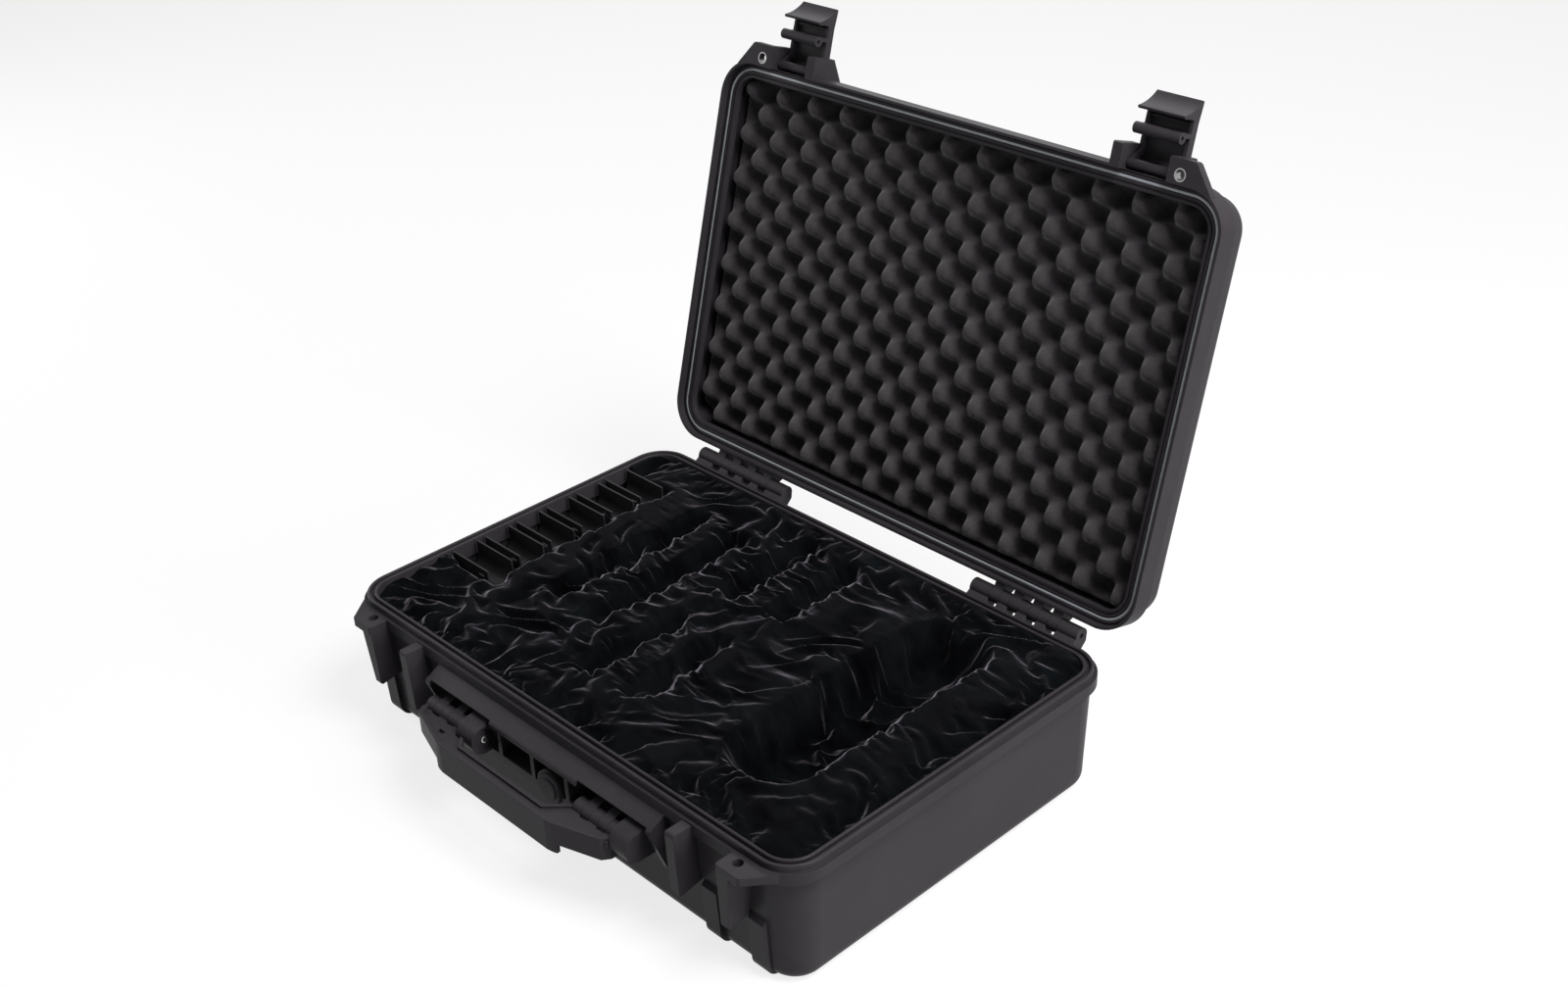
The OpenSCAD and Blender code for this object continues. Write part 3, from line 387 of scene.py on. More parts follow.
def linked(name, data):
    """A new object of a mesh, lamp or camera, linked to the scene."""
    made = bpy.data.objects.new(name, data)
    bpy.context.scene.collection.objects.link(made)
    return made


def flat_grid(hx, hy, nx, ny):
    """x and y of nx by ny points over a rectangle with half sizes hx and hy."""
    return np.meshgrid(np.linspace(-hx, hx, nx), np.linspace(-hy, hy, ny))


def grid_points(x, y, z):
    """Points of a grid, row by row."""
    return np.stack([x.ravel(), y.ravel(), z.ravel()], axis=1)


def grid_faces(nx, ny):
    """Quads of a grid of nx by ny points, stored row by row."""
    i, j = np.meshgrid(np.arange(nx - 1), np.arange(ny - 1))
    a = (j * nx + i).ravel()
    return np.stack([a, a + 1, a + nx + 1, a + nx], axis=1).tolist()


def edge_loop(nx, ny):
    """Indices round the edge of a grid, counter-clockwise."""
    return (
        list(range(nx - 1))
        + [j * nx + nx - 1 for j in range(ny - 1)]
        + [(ny - 1) * nx + i for i in range(nx - 1, 0, -1)]
        + [j * nx for j in range(ny - 1, 0, -1)]
    )


def read_points(piece):
    """A piece's points as an array with a row for each."""
    co = np.empty(len(piece.data.vertices) * 3)
    piece.data.vertices.foreach_get("co", co)
    return co.reshape(-1, 3)


def write_points(piece, points):
    piece.data.vertices.foreach_set("co", points.ravel())
    piece.data.update()


def mend(piece, close=False):
    """Merges doubles, closes an open side if asked, and turns all faces outwards."""
    work = bmesh.new()
    work.from_mesh(piece.data)
    bmesh.ops.remove_doubles(work, verts=work.verts, dist=1e-6)
    if close:
        bmesh.ops.holes_fill(work, edges=[e for e in work.edges if e.is_boundary], sides=0)
    bmesh.ops.recalc_face_normals(work, faces=work.faces)
    work.to_mesh(piece.data)
    work.free()


def round_corner(x, y, hx, hy, r):
    """Pulls points of a square corner in to the round corner of a rectangle."""
    dx = np.abs(x) - (hx - r)
    dy = np.abs(y) - (hy - r)
    both = (dx > 0) & (dy > 0)
    f = np.where(both, np.maximum(dx, dy) / np.maximum(np.hypot(dx, dy), 1e-9), 1.0)
    return (
        np.where(dx > 0, np.sign(x) * (hx - r + dx * f), x),
        np.where(dy > 0, np.sign(y) * (hy - r + dy * f), y),
    )


def smooth_step(v, low, high):
    """0 below low, 1 above high, and a soft slope between them."""
    t = np.clip((v - low) / (high - low), 0, 1)
    return t * t * (3 - 2 * t)


def wave_noise(x, y, seed, scale, octaves=4):
    """Smooth noise between about -1 and 1, made of turned sine waves."""
    rng = np.random.default_rng(seed)
    total = np.zeros_like(x)
    size = 1.0
    for k in range(octaves):
        for _ in range(5):
            turn = rng.uniform(0, math.tau)
            phase = rng.uniform(0, math.tau)
            wave = scale * 2 ** k * rng.uniform(0.7, 1.3)
            total += size * np.sin((x * math.cos(turn) + y * math.sin(turn)) * wave + phase)
        size *= 0.55
    return total / 5


def on_open_lid(points):
    """Turns points drawn on the closed lid to where the open lid stands."""
    hy, hz = HINGE
    c, s = math.cos(-LID_ANGLE), math.sin(-LID_ANGLE)
    y = points[:, 1] - hy
    z = points[:, 2] - hz
    return np.stack([points[:, 0], hy + y * c - z * s, hz + y * s + z * c], axis=1)


# ---- shape of the inside of the base ----

def outside(x, y, pocket, corner):
    """Distance outside a pocket with round corners, negative inside it."""
    cx, cy, w, l = pocket
    qx = np.abs(x - cx) - (w / 2 - corner)
    qy = np.abs(y - cy) - (l / 2 - corner)
    past = np.hypot(np.maximum(qx, 0), np.maximum(qy, 0))
    return past + np.minimum(np.maximum(qx, qy), 0) - corner


def clip_places():
    """Middle y of each clip."""
    return [CLIP_MIDDLE + (k - (CLIP_COUNT - 1) / 2) * CLIP_PITCH for k in range(CLIP_COUNT)]


def under_trough(d, r, gap):
    """Height of the round underside of a trough of radius r, a distance d from its middle."""
    return CLIP_LOW + CLIP_WIDE / 2 - np.sqrt(np.clip(r * r - d * d, 0, None)) - gap


def tray_height(x, y):
    """Height of the foam under the velvet."""
    z = np.full_like(x, TRAY_TOP)
    for cx, cy, length in SLIM_POCKETS:
        far = outside(x, y, (cx, cy, SLIM_WIDE, length), 0.012)
        z -= SLIM_DEPTH * (1 - smooth_step(far, -0.0100, 0.0045))
    far = outside(x, y, LARGE_POCKET, 0.030)
    z -= LARGE_DEPTH * (1 - smooth_step(far, -0.0200, 0.0080))
    cx, cy, reach_x, reach_y, depth = CORNER_DIP
    z -= depth * np.exp(-((x - cx) / reach_x) ** 2 - ((y - cy) / reach_y) ** 2)
    # the foam is lower where the clips stand, with a groove under each
    half = CLIP_COUNT * CLIP_PITCH / 2
    beside = smooth_step(-x, -CLIP_END - 0.018, -CLIP_END - 0.002)
    area = beside * smooth_step(half + 0.004 - np.abs(y - CLIP_MIDDLE), 0, 0.010)
    shelf = np.full_like(x, CLIP_LOW + 0.006)
    for cy in clip_places():
        d = np.abs(y - cy)
        groove = np.maximum(under_trough(d, CLIP_WIDE / 2, GROOVE_GAP), CLIP_LOW - GROOVE_GAP)
        shelf = np.minimum(shelf, np.where(d < CLIP_WIDE / 2, groove, shelf))
    return z * (1 - area) + np.minimum(z, shelf) * area


# ---- sizes and colours that a user would change ----

class CaseColours(bpy.types.PropertyGroup):
    plastic: bpy.props.FloatVectorProperty(
        name="Plastic", description="Colour of the moulded shells", subtype="COLOR",
        default=(0.0165, 0.0145, 0.0168), min=0, max=1)
    fitting: bpy.props.FloatVectorProperty(
        name="Fittings", description="Colour of handle, latches and valve", subtype="COLOR",
        default=(0.0165, 0.0145, 0.0168), min=0, max=1)
    velvet: bpy.props.FloatVectorProperty(
        name="Velvet", description="Colour of the velvet's pile seen straight on", subtype="COLOR",
        default=(0.0008, 0.0007, 0.0010), min=0, max=1)
    foam: bpy.props.FloatVectorProperty(
        name="Foam", description="Colour of the lid's foam", subtype="COLOR",
        default=(0.0130, 0.0112, 0.0124), min=0, max=1)


class VelvetSizes(bpy.types.PropertyGroup):
    columns: bpy.props.IntProperty(
        name="Columns", description="Points from left to right, before the cloth is divided again",
        default=186, min=60, max=200)
    fold: bpy.props.FloatProperty(
        name="Fold height", description="Height of the cloth's main folds", default=0.0074,
        unit="LENGTH")
    slack: bpy.props.FloatProperty(
        name="Slack", description="How much longer the cloth is than its drawn folds",
        default=0.03, min=0.0, max=0.2)


class FoamSizes(bpy.types.PropertyGroup):
    pitch: bpy.props.FloatProperty(
        name="Pitch", description="Distance between peaks along a row", default=0.042,
        unit="LENGTH")
    wave: bpy.props.FloatProperty(
        name="Wave", description="Height from valley to peak", default=0.025, unit="LENGTH")
    steps: bpy.props.IntProperty(
        name="Steps", description="Mesh cells from peak to valley", default=9, min=3, max=12)
    roundness: bpy.props.FloatProperty(
        name="Roundness", description="How fat and round the peaks are", default=1.0, min=0.0,
        max=1.0)


# ---- pieces ----

class CASE_OT_shells(bpy.types.Operator):
    """Gives the moulded shells their grained plastic"""
    bl_idname = "case.shells"
    bl_label = "Moulded shells"

    def execute(self, context):
        grained = moulded_plastic(
            "Grained black plastic", tuple(context.scene.case_colours.plastic),
            rough=0.42, grain_size=0.0009, grain_depth=0.00022, edge=0.0011)
        for node in ("base_shell", "base_lug_left", "base_lug_right", "lid_shell"):
            dress(node, grained)
        return {"FINISHED"}


class CASE_OT_fittings(bpy.types.Operator):
    """Gives handle, latches, valve and clips their plastics, and makes the handle boss's end"""
    bl_idname = "case.fittings"
    bl_label = "Handle, latches, valve and clips"

    def execute(self, context):
        fitting = moulded_plastic(
            "Fitting plastic", tuple(context.scene.case_colours.fitting),
            rough=0.46, grain_size=0.0007, grain_depth=0.00016, edge=0.0008)
        for node in ("handle", "latch_left", "latch_right", "valve_plug"):
            dress(node, fitting)
        glossy = moulded_plastic(
            "Clip plastic", (0.012, 0.012, 0.013),
            rough=0.22, grain_size=0.0012, grain_depth=0.00004, edge=0.0004)
        for k in range(CLIP_COUNT):
            dress(f"clip_{k + 1}", glossy)
        # profiles in millimetres from the boss's end, and in shares of its radius
        x, y, z, r = BOSS_END
        lip = [(-1.0, 1.0), (1.0, 1.0), (1.3, 0.93), (1.3, 0.80), (0.6, 0.72), (-1.0, 0.72),
               (-1.0, 1.0)]
        turned("boss_lip", [(x + 0.001 * a, r * b) for a, b in lip], y, z, fitting)
        stud = [(-1.0, 0), (-1.0, 0.24), (0.7, 0.24), (1.0, 0.19), (1.0, 0)]
        bright = steel("Bright steel", 0.75)
        turned("pin_end", [(x + 0.001 * a, r * b) for a, b in stud], y, z, bright)
        return {"FINISHED"}


def turned(name, profile, y, z, material):
    """A piece of the base turned round an axis along X, from points of x and radius."""
    n = 48
    turns = [math.tau * i / n for i in range(n)]
    points = [(x, y + r * math.cos(t), z + r * math.sin(t)) for x, r in profile for t in turns]
    faces = [
        (k * n + i, k * n + (i + 1) % n, (k + 1) * n + (i + 1) % n, (k + 1) * n + i)
        for k in range(len(profile) - 1) for i in range(n)]
    piece = mesh_piece(name, points, faces, False, material)
    mend(piece)
    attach(piece, "base")


class CASE_OT_metal(bpy.types.Operator):
    """Gives pins and eyelets their steel, and the seals their rubber"""
    bl_idname = "case.metal"
    bl_label = "Pins and seals"

    def execute(self, context):
        drawn = steel("Drawn steel", 0.40)
        # painted shade: the hinge pins get a very dark steel, which stands in for the shade in the
        # narrow gaps between the hinge knuckles
        dull = steel("Burnished steel", 0.10)
        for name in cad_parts:
            if "pin" in name or "eyelet" in name:
                dress(name, dull if name.startswith("hinge") else drawn)
        # painted highlight: the seal cord's pale grey colour stands in for the line of light along
        # the seal
        dress("lid_seal", seal_rubber("Seal cord paled as painted highlight", (0.17, 0.18, 0.195), 0.45))
        dress("valve_seal", seal_rubber("Valve rubber", (0.012, 0.012, 0.012), 0.6))
        return {"FINISHED"}


def dress(node, material):
    """Puts a material on a CAD node's own slots."""
    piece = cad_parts[node]
    mesh = piece.data
    if not piece.material_slots:
        mesh.materials.append(material)
    for slot in piece.material_slots:
        slot.material = material


class CASE_OT_foam(bpy.types.Operator):
    """Makes the lid's egg-crate foam"""
    bl_idname = "case.foam"
    bl_label = "Lid foam"

    def execute(self, context):
        sizes = context.scene.foam_sizes
        hx, hy = FOAM_HALF
        across, along = (2 * round(2 * half / sizes.pitch) for half in FOAM_HALF)
        material = open_foam("Lid foam", tuple(context.scene.case_colours.foam), FOAM_TIPS)
        piece = from_nodes("egg_crate_foam", foam_nodes(), {
            "Half width": hx, "Half height": hy, "Corner radius": FOAM_CORNER,
            "Cells across": across, "Cells along": along, "Points per cell": sizes.steps,
            "Wave": sizes.wave, "Middle": FOAM_TIP + sizes.wave / 2, "Back": FOAM_BACK,
            "Roundness": sizes.roundness, "Material": material,
        })
        mend(piece, close=True)
        points = read_points(piece)
        front = points[:, 2] < FOAM_BACK - 0.001
        points[:, 2] += 0.0005 * wave_noise(points[:, 0], points[:, 1], 3, 90.0, 3) * front
        write_points(piece, on_open_lid(points))
        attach(piece, "lid")
        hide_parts("lid_foam")
        return {"FINISHED"}


def foam_nodes():
    """Geometry nodes for foam with peaks and valleys in turn, cut to a rounded rectangle."""
    tree = bpy.data.node_groups.new("Egg-crate foam", "GeometryNodeTree")
    g = Graph(tree)
    for name, kind, low, high in (
        ("Half width", "NodeSocketFloat", 0.01, 1.0),
        ("Half height", "NodeSocketFloat", 0.01, 1.0),
        ("Corner radius", "NodeSocketFloat", 0.0, 0.1),
        ("Cells across", "NodeSocketInt", 2, 60),
        ("Cells along", "NodeSocketInt", 2, 60),
        ("Points per cell", "NodeSocketInt", 2, 20),
        ("Wave", "NodeSocketFloat", 0.0, 0.1),
        ("Middle", "NodeSocketFloat", -1.0, 1.0),
        ("Back", "NodeSocketFloat", -1.0, 1.0),
        ("Roundness", "NodeSocketFloat", 0.0, 1.0),
    ):
        socket = tree.interface.new_socket(name, in_out="INPUT", socket_type=kind)
        socket.min_value, socket.max_value = low, high
    tree.interface.new_socket("Material", in_out="INPUT", socket_type="NodeSocketMaterial")
    tree.interface.new_socket("Geometry", in_out="OUTPUT", socket_type="NodeSocketGeometry")
    given = tree.nodes.new("NodeGroupInput")
    hx, hy, corner, across, along, per_cell, wave, middle, back, roundness, material = (
        Sock(g, out) for out in given.outputs[:11])

    # a flat sheet at the back, and the same sheet pulled out to the front
    flat = g.node("GeometryNodeMeshGrid", None, {
        "Size X": hx * 2, "Size Y": hy * 2,
        "Vertices X": across * per_cell + 1, "Vertices Y": along * per_cell + 1}, out="Mesh")
    flat = g.node("GeometryNodeSetPosition", None, {
        "Geometry": flat, "Offset": g.node("CombineXYZ", None, {"Z": back})}, out="Geometry")
    pulled, front = g.node("GeometryNodeExtrudeMesh", {"mode": "FACES"}, {
        "Mesh": flat, "Offset Scale": middle - back, "Individual": False}, out=("Mesh", "Top"))

    # peaks and valleys in turn along both ways
    position = g.node("GeometryNodeInputPosition", out="Position")
    x, y = g.node("SeparateXYZ", None, {0: position}, out=(0, 1))
    over = (((x + hx) * across / hx - 1) * (math.pi / 2)).cosine()
    up = (((y + hy) * along / hy - 1) * (math.pi / 2)).cosine()
    swell = over * up
    fat = swell * (roundness * 0.5 + 1) - swell * swell * swell * (roundness * 0.5)

    # the corners are pulled in to the round
    over_x = (x.size() - (hx - corner)).atleast(0)
    over_y = (y.size() - (hy - corner)).atleast(0)
    distance = (over_x * over_x + over_y * over_y).root() + 1e-7
    shrink = over_x.atleast(over_y) / distance
    new_x = x.sign() * (x.size().atmost(hx - corner) + over_x * shrink)
    new_y = y.sign() * (y.size().atmost(hy - corner) + over_y * shrink)
    inwards = g.node("CombineXYZ", None, {"X": new_x - x, "Y": new_y - y})
    rounded = g.node("GeometryNodeSetPosition", None, {
        "Geometry": pulled, "Offset": inwards}, out="Geometry")
    bumpy = g.node("GeometryNodeSetPosition", None, {
        "Geometry": rounded, "Selection": front,
        "Offset": g.node("CombineXYZ", None, {"Z": fat * wave * -0.5})}, out="Geometry")
    real = g.node("GeometryNodeRealizeInstances", None, {"Geometry": bumpy}, out="Geometry")
    done = g.node("GeometryNodeSetMaterial", None, {
        "Geometry": real, "Material": material}, out="Geometry")
    g.node("NodeGroupOutput", None, {"Geometry": done})
    return tree


def from_nodes(name, tree, values):
    """Runs a geometry node group with its named inputs and returns the result as a plain mesh."""
    holder = mesh_piece(name + "_source", [(0, 0, 0)], [])
    step = holder.modifiers.new("Nodes", "NODES")
    step.node_group = tree
    for item in tree.interface.items_tree:
        if item.in_out == "INPUT":
            step[item.identifier] = values[item.name]
    bpy.context.view_layer.update()
    depsgraph = bpy.context.evaluated_depsgraph_get()
    mesh = bpy.data.meshes.new_from_object(holder.evaluated_get(depsgraph), depsgraph=depsgraph)
    holder.modifiers.remove(step)
    bpy.data.objects.remove(holder, do_unlink=True)
    if not mesh.polygons:
        raise RuntimeError(f"the nodes made no faces for {name}")
    shade_smooth(mesh)
    return linked(name, mesh)


class CASE_OT_tray(bpy.types.Operator):
    """Makes the foam tray under the velvet"""
    bl_idname = "case.tray"
    bl_label = "Foam tray"

    def execute(self, context):
        hx, hy = TRAY_HALF
        nx, ny = 221, 151
        x, y = flat_grid(hx, hy, nx, ny)
        z = tray_height(x, y) - 0.001
        x, y = round_corner(x, y, hx, hy, RIM_ROUND)
        top = grid_points(x, y, z)
        edge = edge_loop(nx, ny)
        side = top[edge].copy()
        side[:, 2] = TRAY_TAPER_TOP
        low = side.copy()
        low[:, :2] *= TRAY_TAPER
        low[:, 2] = TRAY_FOOT
        points = np.concatenate([top, side, low, [[0, 0, TRAY_FOOT]]])
        count, m = nx * ny, len(edge)
        faces = grid_faces(nx, ny)
        for k in range(m):
            a, b = edge[k], edge[(k + 1) % m]
            s0, s1 = count + k, count + (k + 1) % m
            faces.append((b, a, s0, s1))
            faces.append((s1, s0, s0 + m, s1 + m))
            faces.append((s1 + m, s0 + m, len(points) - 1))
        material = open_foam("Tray foam", (0.008, 0.008, 0.009), (0.02, 0.02, 0.021))
        piece = mesh_piece("foam_block", points, faces, True, material)
        mend(piece)
        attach(piece, "base")
        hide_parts("foam_tray", "foam_pad", "clip_shelf")
        return {"FINISHED"}


class CASE_OT_velvet(bpy.types.Operator):
    """Lays the velvet over the tray, gathered in folds"""
    bl_idname = "case.velvet"
    bl_label = "Velvet lining"

    def execute(self, context):
        sizes = context.scene.velvet_sizes
        hx, hy = (half - CLOTH_GAP for half in RIM_HALF)
        nx = sizes.columns
        ny = round(nx * hy / hx)
        x, y = round_corner(*flat_grid(hx, hy, nx, ny), hx, hy, RIM_ROUND - CLOTH_GAP)
        z = tray_height(x, y) + CLOTH_REST + sizes.fold * main_folds(x, y)
        material = velvet_cloth(
            "Black velvet", tuple(context.scene.case_colours.velvet), VELVET_NAP)
        piece = mesh_piece(
            "velvet_cloth", grid_points(x, y, z), grid_faces(nx, ny), True, material)
        settle_cloth(piece, edge_loop(nx, ny), sizes.slack)
        finish_cloth(piece, sizes.fold)
        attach(piece, "base")
        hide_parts("velvet_lining")
        return {"FINISHED"}


def round_pocket(x, y, pocket):
    """How far points lie outside a long pocket, and where they lie round it, from 0 to 1."""
    cx, cy, w, l = pocket
    r = w / 2
    low, high = cy - l / 2 + r, cy + l / 2 - r
    nearest = np.clip(y, low, high)
    angle = np.arctan2(y - nearest, x - cx)
    side = high - low
    left = (y == nearest) & (x < cx)
    upper = np.where(left, side + r * math.pi + high - y, nearest - low + r * angle)
    way = np.where(angle < 0, 2 * side + r * (angle + math.tau), upper)
    return np.hypot(x - cx, y - nearest) - r, way / (2 * side + math.tau * r)


def crests(phase, sharp):
    """Rounded ridges with wide valleys between them, from 0 to 1."""
    return (1 - np.sqrt(np.sin(phase) ** 2 + sharp)) / (1 - math.sqrt(sharp))


def gathers(x, y, pocket, count, reach, seed):
    """Folds that run out from a pocket's edge, where the cloth is tucked in."""
    rng = np.random.default_rng(seed)
    a, b, c = rng.uniform(0, math.tau, 3)
    near = round_pocket(x, y, pocket)[0]
    # the folds wander sideways as they leave the edge
    drift = 0.011 * smooth_step(near, 0.002, 0.030)
    shifted_x = x + drift * wave_noise(x, y, seed + 100, 60.0, 2)
    shifted_y = y + drift * wave_noise(x, y, seed + 200, 60.0, 2)
    away, turn = round_pocket(shifted_x, shifted_y, pocket)
    uneven = 0.010 * np.sin(math.tau * 5 * turn + a) + 0.007 * np.sin(math.tau * 11 * turn + b)
    slant = 1.1 * count * np.tanh(np.clip(away, 0, None) / 0.05) * 0.055 * math.sin(c + 0.4)
    bend = slant + 1.1 * wave_noise(x, y, seed, 70.0, 2) * smooth_step(near, 0.0, 0.012)
    # some are strong and long, others weak and short
    strength = 0.5 + 0.5 * np.sin(math.tau * 7 * turn + c) * np.sin(math.tau * 3 * turn + a)
    fade = np.exp(-np.clip(near, 0, None) / (reach * (0.5 + 1.0 * strength)))
    inside = smooth_step(near, -0.013, -0.001)
    ridges = crests(math.pi * count * (turn + uneven) + bend, 0.03)
    return ridges * (0.2 + 0.8 * strength) * fade * inside


def pockets():
    """All pockets: middle x and y, width and length."""
    return [(cx, cy, SLIM_WIDE, length) for cx, cy, length in SLIM_POCKETS] + [LARGE_POCKET]


def folds_round(pocket, spacing):
    """How many folds fit round a pocket."""
    return round(2 * (pocket[2] + pocket[3]) / spacing)


def main_folds(x, y):
    """Height of the cloth's folds over the tray, about 0 to 1.6."""
    hx, hy = RIM_HALF
    drift = wave_noise(x, y, 8, 20.0, 2)
    other = wave_noise(x, y, 9, 45.0, 3)
    ridges = []
    for k, pocket in enumerate(pockets()):
        count = folds_round(pocket, FOLD_SPACING)
        ridges.append(1.25 * gathers(x, y, pocket, count, FOLD_REACH, 20 + k))
    # long slack folds that cross the open areas, in two directions
    slanting = 96 * (0.75 * x + 0.6 * y) + 3.4 * drift + 1.5 * other
    across = 88 * (y - 0.35 * x) + 3.2 * other + 1.6 * drift
    ridges.append(1.15 * crests(slanting, 0.02) * smooth_step(other, -0.7, 0.5))
    ridges.append(1.05 * crests(across, 0.02) * smooth_step(-drift, -0.6, 0.5))
    # the right side is rolled, with creases across the roll
    roll = np.exp(-((x - 0.246 - 0.003 * drift) / 0.019) ** 2)
    uneven = 1.9 * wave_noise(x, y, 31, 62.0, 2)
    cross = crests(math.pi * (y / 0.0190) + uneven + 38 * (x - 0.246), 0.04)
    ridges.append(roll * (0.75 + 0.95 * cross * (0.6 + 0.4 * other)))
    # soft heaps in front of the large pocket
    heap = smooth_step(x, 0.03, 0.09) * smooth_step(-y, 0.095, 0.125)
    ridges.append(heap * (0.8 + 0.9 * wave_noise(x, y, 12, 75.0, 2)))
    total = sum(np.maximum(ridge, 0) ** 3 for ridge in ridges) ** (1 / 3)
    total += 0.12 + 0.16 * wave_noise(x, y, 5, 30.0, 3)
    # the cloth stands up along the back and left, and is tucked down along the front
    total += 0.60 * smooth_step(y, hy - 0.034, hy - 0.006)
    total += 0.45 * smooth_step(-x, hx - 0.016, hx - 0.004)
    total -= 0.45 * smooth_step(-y, hy - 0.026, hy - 0.006)
    return total


def fine_folds(x, y):
    """Height of the small creases, about 0 to 1."""
    total = np.zeros_like(x)
    for k, pocket in enumerate(pockets()):
        count = folds_round(pocket, CREASE_SPACING)
        total += 0.8 * gathers(x, y, pocket, count, CREASE_REACH, 50 + k)
    side = RIM_HALF[0] - np.abs(x)
    front = RIM_HALF[1] - np.abs(y)
    along = np.where(side < front, y, x)
    tucks = crests(math.pi * along / 0.0095 + 1.6 * wave_noise(x, y, 61, 75.0, 2), 0.04)
    uneven = 0.4 + 0.4 * np.sin(30 * along + 2) + 0.2 * np.sin(71 * along)
    total += tucks * np.exp(-np.minimum(side, front) / 0.014) * uneven
    drift = wave_noise(x, y, 71, 42.0, 3)
    slanting = 2.6 * drift + 105 * (0.35 * x + 0.9 * y)
    across = 2.9 * drift + 95 * (0.8 * x - 0.5 * y)
    total += 0.55 * crests(slanting, 0.02) * smooth_step(drift, 0.0, 0.9)
    total += 0.45 * crests(across, 0.02) * smooth_step(-drift, 0.1, 0.9)
    return total


def under(z, ceiling):
    """Height z held softly below a ceiling."""
    soft = 0.0010
    room = (ceiling - z) / soft
    return ceiling - soft * (np.log1p(np.exp(-np.abs(room))) + np.maximum(room, 0))


def tray_collider():
    """The tray's top as a surface for the cloth to fall on."""
    nx, ny = 211, 141
    x, y = flat_grid(0.285, 0.186, nx, ny)
    points = grid_points(x, y, tray_height(x, y))
    piece = mesh_piece("cloth_support", points, grid_faces(nx, ny))
    piece.modifiers.new("Collision", "COLLISION")
    piece.collision.thickness_outer = 0.0006
    piece.collision.thickness_inner = 0.02
    piece.collision.cloth_friction = 12.0
    return piece


def settle_cloth(piece, edge, slack):
    """Lets the slack cloth settle on the tray with its edges tucked in."""
    support = tray_collider()
    group = piece.vertex_groups.new(name="edge")
    group.add([int(k) for k in edge], 1.0, "REPLACE")
    sim = piece.modifiers.new("Cloth", "CLOTH")
    cloth = sim.settings
    for key, value in CLOTH_SETTINGS.items():
        setattr(cloth, key, value)
    cloth.vertex_group_mass = "edge"
    cloth.shrink_min = -slack
    cloth.effector_weights.gravity = 0.5
    sim.collision_settings.collision_quality = 2
    sim.collision_settings.distance_min = 0.0008
    sim.collision_settings.use_self_collision = False
    sim.point_cache.frame_start = 1
    sim.point_cache.frame_end = SETTLE_FRAMES
    scene = bpy.context.scene
    for k in range(1, SETTLE_FRAMES + 1):
        scene.frame_set(k)
    settled = piece.evaluated_get(bpy.context.evaluated_depsgraph_get())
    points = read_points(settled)
    piece.modifiers.remove(sim)
    piece.vertex_groups.clear()
    write_points(piece, points)
    scene.frame_set(1)
    bpy.data.objects.remove(support, do_unlink=True)


def finish_cloth(piece, fold):
    """Divides the cloth once more, adds its small creases and keeps it clear of its neighbours."""
    work = bmesh.new()
    work.from_mesh(piece.data)
    bmesh.ops.subdivide_edges(work, edges=work.edges, cuts=1, use_grid_fill=True, smooth=0.6)
    work.to_mesh(piece.data)
    work.free()
    shade_smooth(piece.data)
    co = read_points(piece)
    normals = np.empty(len(co) * 3)
    piece.data.vertices.foreach_get("normal", normals)
    height = CREASE_SHARE * fold * fine_folds(co[:, 0], co[:, 1])
    co += normals.reshape(-1, 3) * height[:, None]
    co[:, 0], co[:, 1] = within_rim(co[:, 0], co[:, 1])
    low = tray_height(co[:, 0], co[:, 1]) + 0.0004
    co[:, 2] = np.maximum(co[:, 2], low)
    co[:, 2] = under(co[:, 2], RIM_Z - 0.0010)
    co[:, 2] = np.minimum(co[:, 2], clip_ceiling(co[:, 0], co[:, 1]))
    write_points(piece, co)


def within_rim(x, y):
    """x and y pulled in to the inside of the rim, with its round corners."""
    hx, hy = (half - CLOTH_GAP for half in RIM_HALF)
    x = np.clip(x, -hx, hx)
    y = np.clip(y, -hy, hy)
    over_x = np.maximum(np.abs(x) - (hx - RIM_ROUND), 0)
    over_y = np.maximum(np.abs(y) - (hy - RIM_ROUND), 0)
    reach = np.maximum(np.hypot(over_x, over_y), 1e-9)
    pull = np.where((over_x > 0) & (over_y > 0), np.minimum(1, RIM_ROUND / reach), 1)
    return (
        np.sign(x) * (np.abs(x) - over_x * (1 - pull)),
        np.sign(y) * (np.abs(y) - over_y * (1 - pull)),
    )


def clip_ceiling(x, y):
    """Highest place for cloth under and between the clips."""
    top = np.full_like(x, 1.0)
    near = x < CLIP_END + 0.003
    r = CLIP_WIDE / 2 + 0.0012
    for cy in clip_places():
        d = np.abs(y - cy)
        top = np.where(near & (d < r), np.minimum(top, under_trough(d, r, 0.0002)), top)
    return top


# ---- stage ----

class CASE_OT_stage(bpy.types.Operator):
    """Makes floor, light and camera"""
    bl_idname = "case.stage"
    bl_label = "Floor, light and camera"

    def execute(self, context):
        half, z = FLOOR_HALF, FLOOR_Z
        corners = [(-half, -half, z), (half, -half, z), (half, half, z), (-half, half, z)]
        paper = plain_stage("Floor", (0.66, 0.66, 0.66), 0.8)
        mesh_piece("floor", corners, [(0, 1, 2, 3)], False, paper)
        world = bpy.data.worlds.new("Studio")
        context.scene.world = world
        world.use_nodes = True
        g = Graph(world.node_tree)
        dim = g.node("Background", None, {"Color": (0.95, 0.97, 1.0, 1), "Strength": 0.10})
        white = g.node("Background", None, {"Color": (1, 1, 1, 1), "Strength": 1.0})
        light = g.node("MixShader", None, {0: seen_directly(g), 1: dim, 2: white})
        g.node("OutputWorld", None, {"Surface": light})
        for lamp in LAMPS:
            soft_lamp(*lamp)
        photo_camera()
        context.scene.view_settings.view_transform = "Standard"
        return {"FINISHED"}


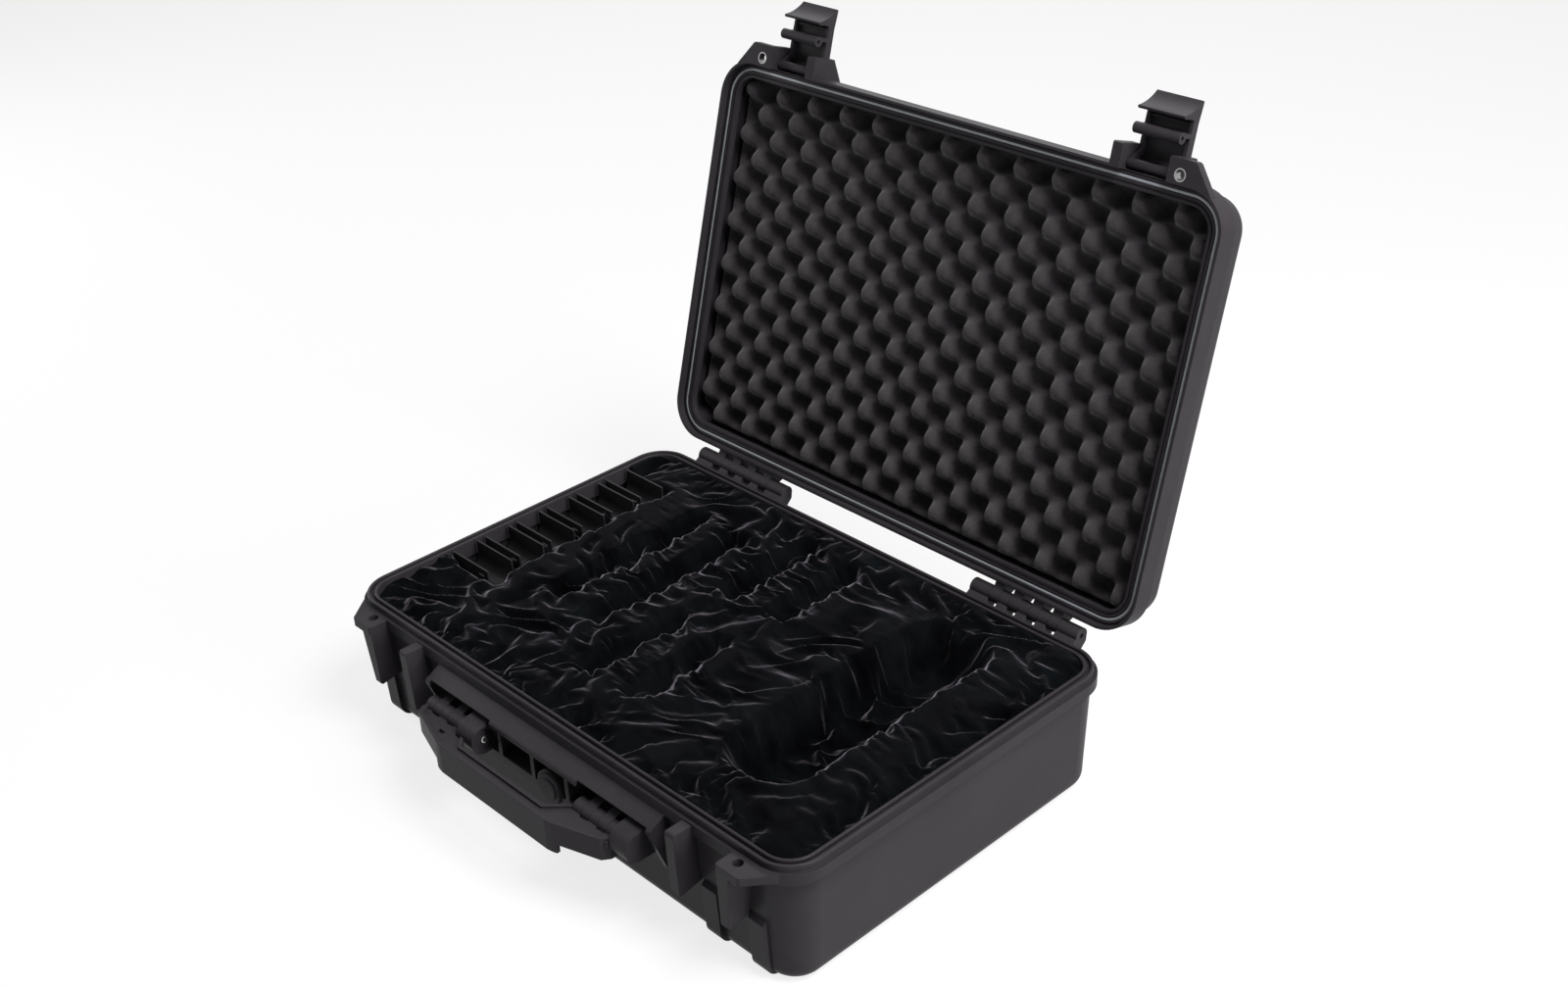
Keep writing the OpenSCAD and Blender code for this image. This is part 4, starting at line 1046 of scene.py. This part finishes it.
def soft_lamp(name, place, aim, size, power):
    """A square area lamp at a place, pointed at another."""
    lamp = bpy.data.lights.new(name, "AREA")
    lamp.shape = "SQUARE"
    lamp.size = size
    lamp.energy = power
    holder = linked(name, lamp)
    holder.location = place
    holder.rotation_euler = (Vector(aim) - Vector(place)).to_track_quat("-Z", "Y").to_euler()


def photo_camera():
    """The camera stands where the photograph's stood."""
    az, el, roll = (math.radians(turn) for turn in CAMERA_TURN)
    back = Vector((math.sin(az) * math.cos(el), -math.cos(az) * math.cos(el), math.sin(el)))
    right = Vector((math.cos(az), math.sin(az), 0))
    up = back.cross(right)
    right_r = right * math.cos(roll) + up * math.sin(roll)
    up_r = up * math.cos(roll) - right * math.sin(roll)
    to_right, upwards, backwards = CAMERA_PLACE
    place = right_r * to_right + up_r * upwards + back * backwards
    place.z += RIM_Z
    lens = bpy.data.cameras.new("Camera")
    lens.sensor_width = SENSOR_WIDTH
    lens.lens = SENSOR_WIDTH * LENS_SHARE
    lens.clip_start = 0.05
    camera = linked("Camera", lens)
    turn = Matrix((right_r, up_r, back)).transposed().to_4x4()
    turn.translation = place
    camera.matrix_world = turn
    bpy.context.scene.camera = camera


class CASE_PT_panel(bpy.types.Panel):
    """Lists the steps that dress the case"""
    bl_idname = "CASE_PT_panel"
    bl_label = "Microphone case"
    bl_space_type = "VIEW_3D"
    bl_region_type = "UI"
    bl_category = "Case"

    def draw(self, context):
        scene = context.scene
        for group in (scene.case_colours, scene.velvet_sizes, scene.foam_sizes):
            for key in group.bl_rna.properties.keys():
                if key not in ("rna_type", "name"):
                    self.layout.prop(group, key)
        for step in STEPS:
            self.layout.operator(step.bl_idname)


STEPS = (
    CASE_OT_stage,
    CASE_OT_shells,
    CASE_OT_fittings,
    CASE_OT_metal,
    CASE_OT_foam,
    CASE_OT_tray,
    CASE_OT_velvet,
)
CLASSES = (CaseColours, VelvetSizes, FoamSizes, *STEPS, CASE_PT_panel)


def register():
    for cls in CLASSES:
        bpy.utils.register_class(cls)
    bpy.types.Scene.case_colours = bpy.props.PointerProperty(type=CaseColours)
    bpy.types.Scene.velvet_sizes = bpy.props.PointerProperty(type=VelvetSizes)
    bpy.types.Scene.foam_sizes = bpy.props.PointerProperty(type=FoamSizes)


def unregister():
    del bpy.types.Scene.foam_sizes
    del bpy.types.Scene.velvet_sizes
    del bpy.types.Scene.case_colours
    for cls in reversed(CLASSES):
        bpy.utils.unregister_class(cls)


def main():
    register()
    bpy.ops.case.stage()
    bpy.ops.case.shells()
    bpy.ops.case.fittings()
    bpy.ops.case.metal()
    bpy.ops.case.foam()
    bpy.ops.case.tray()
    bpy.ops.case.velvet()


if __name__ == "__main__":
    main()
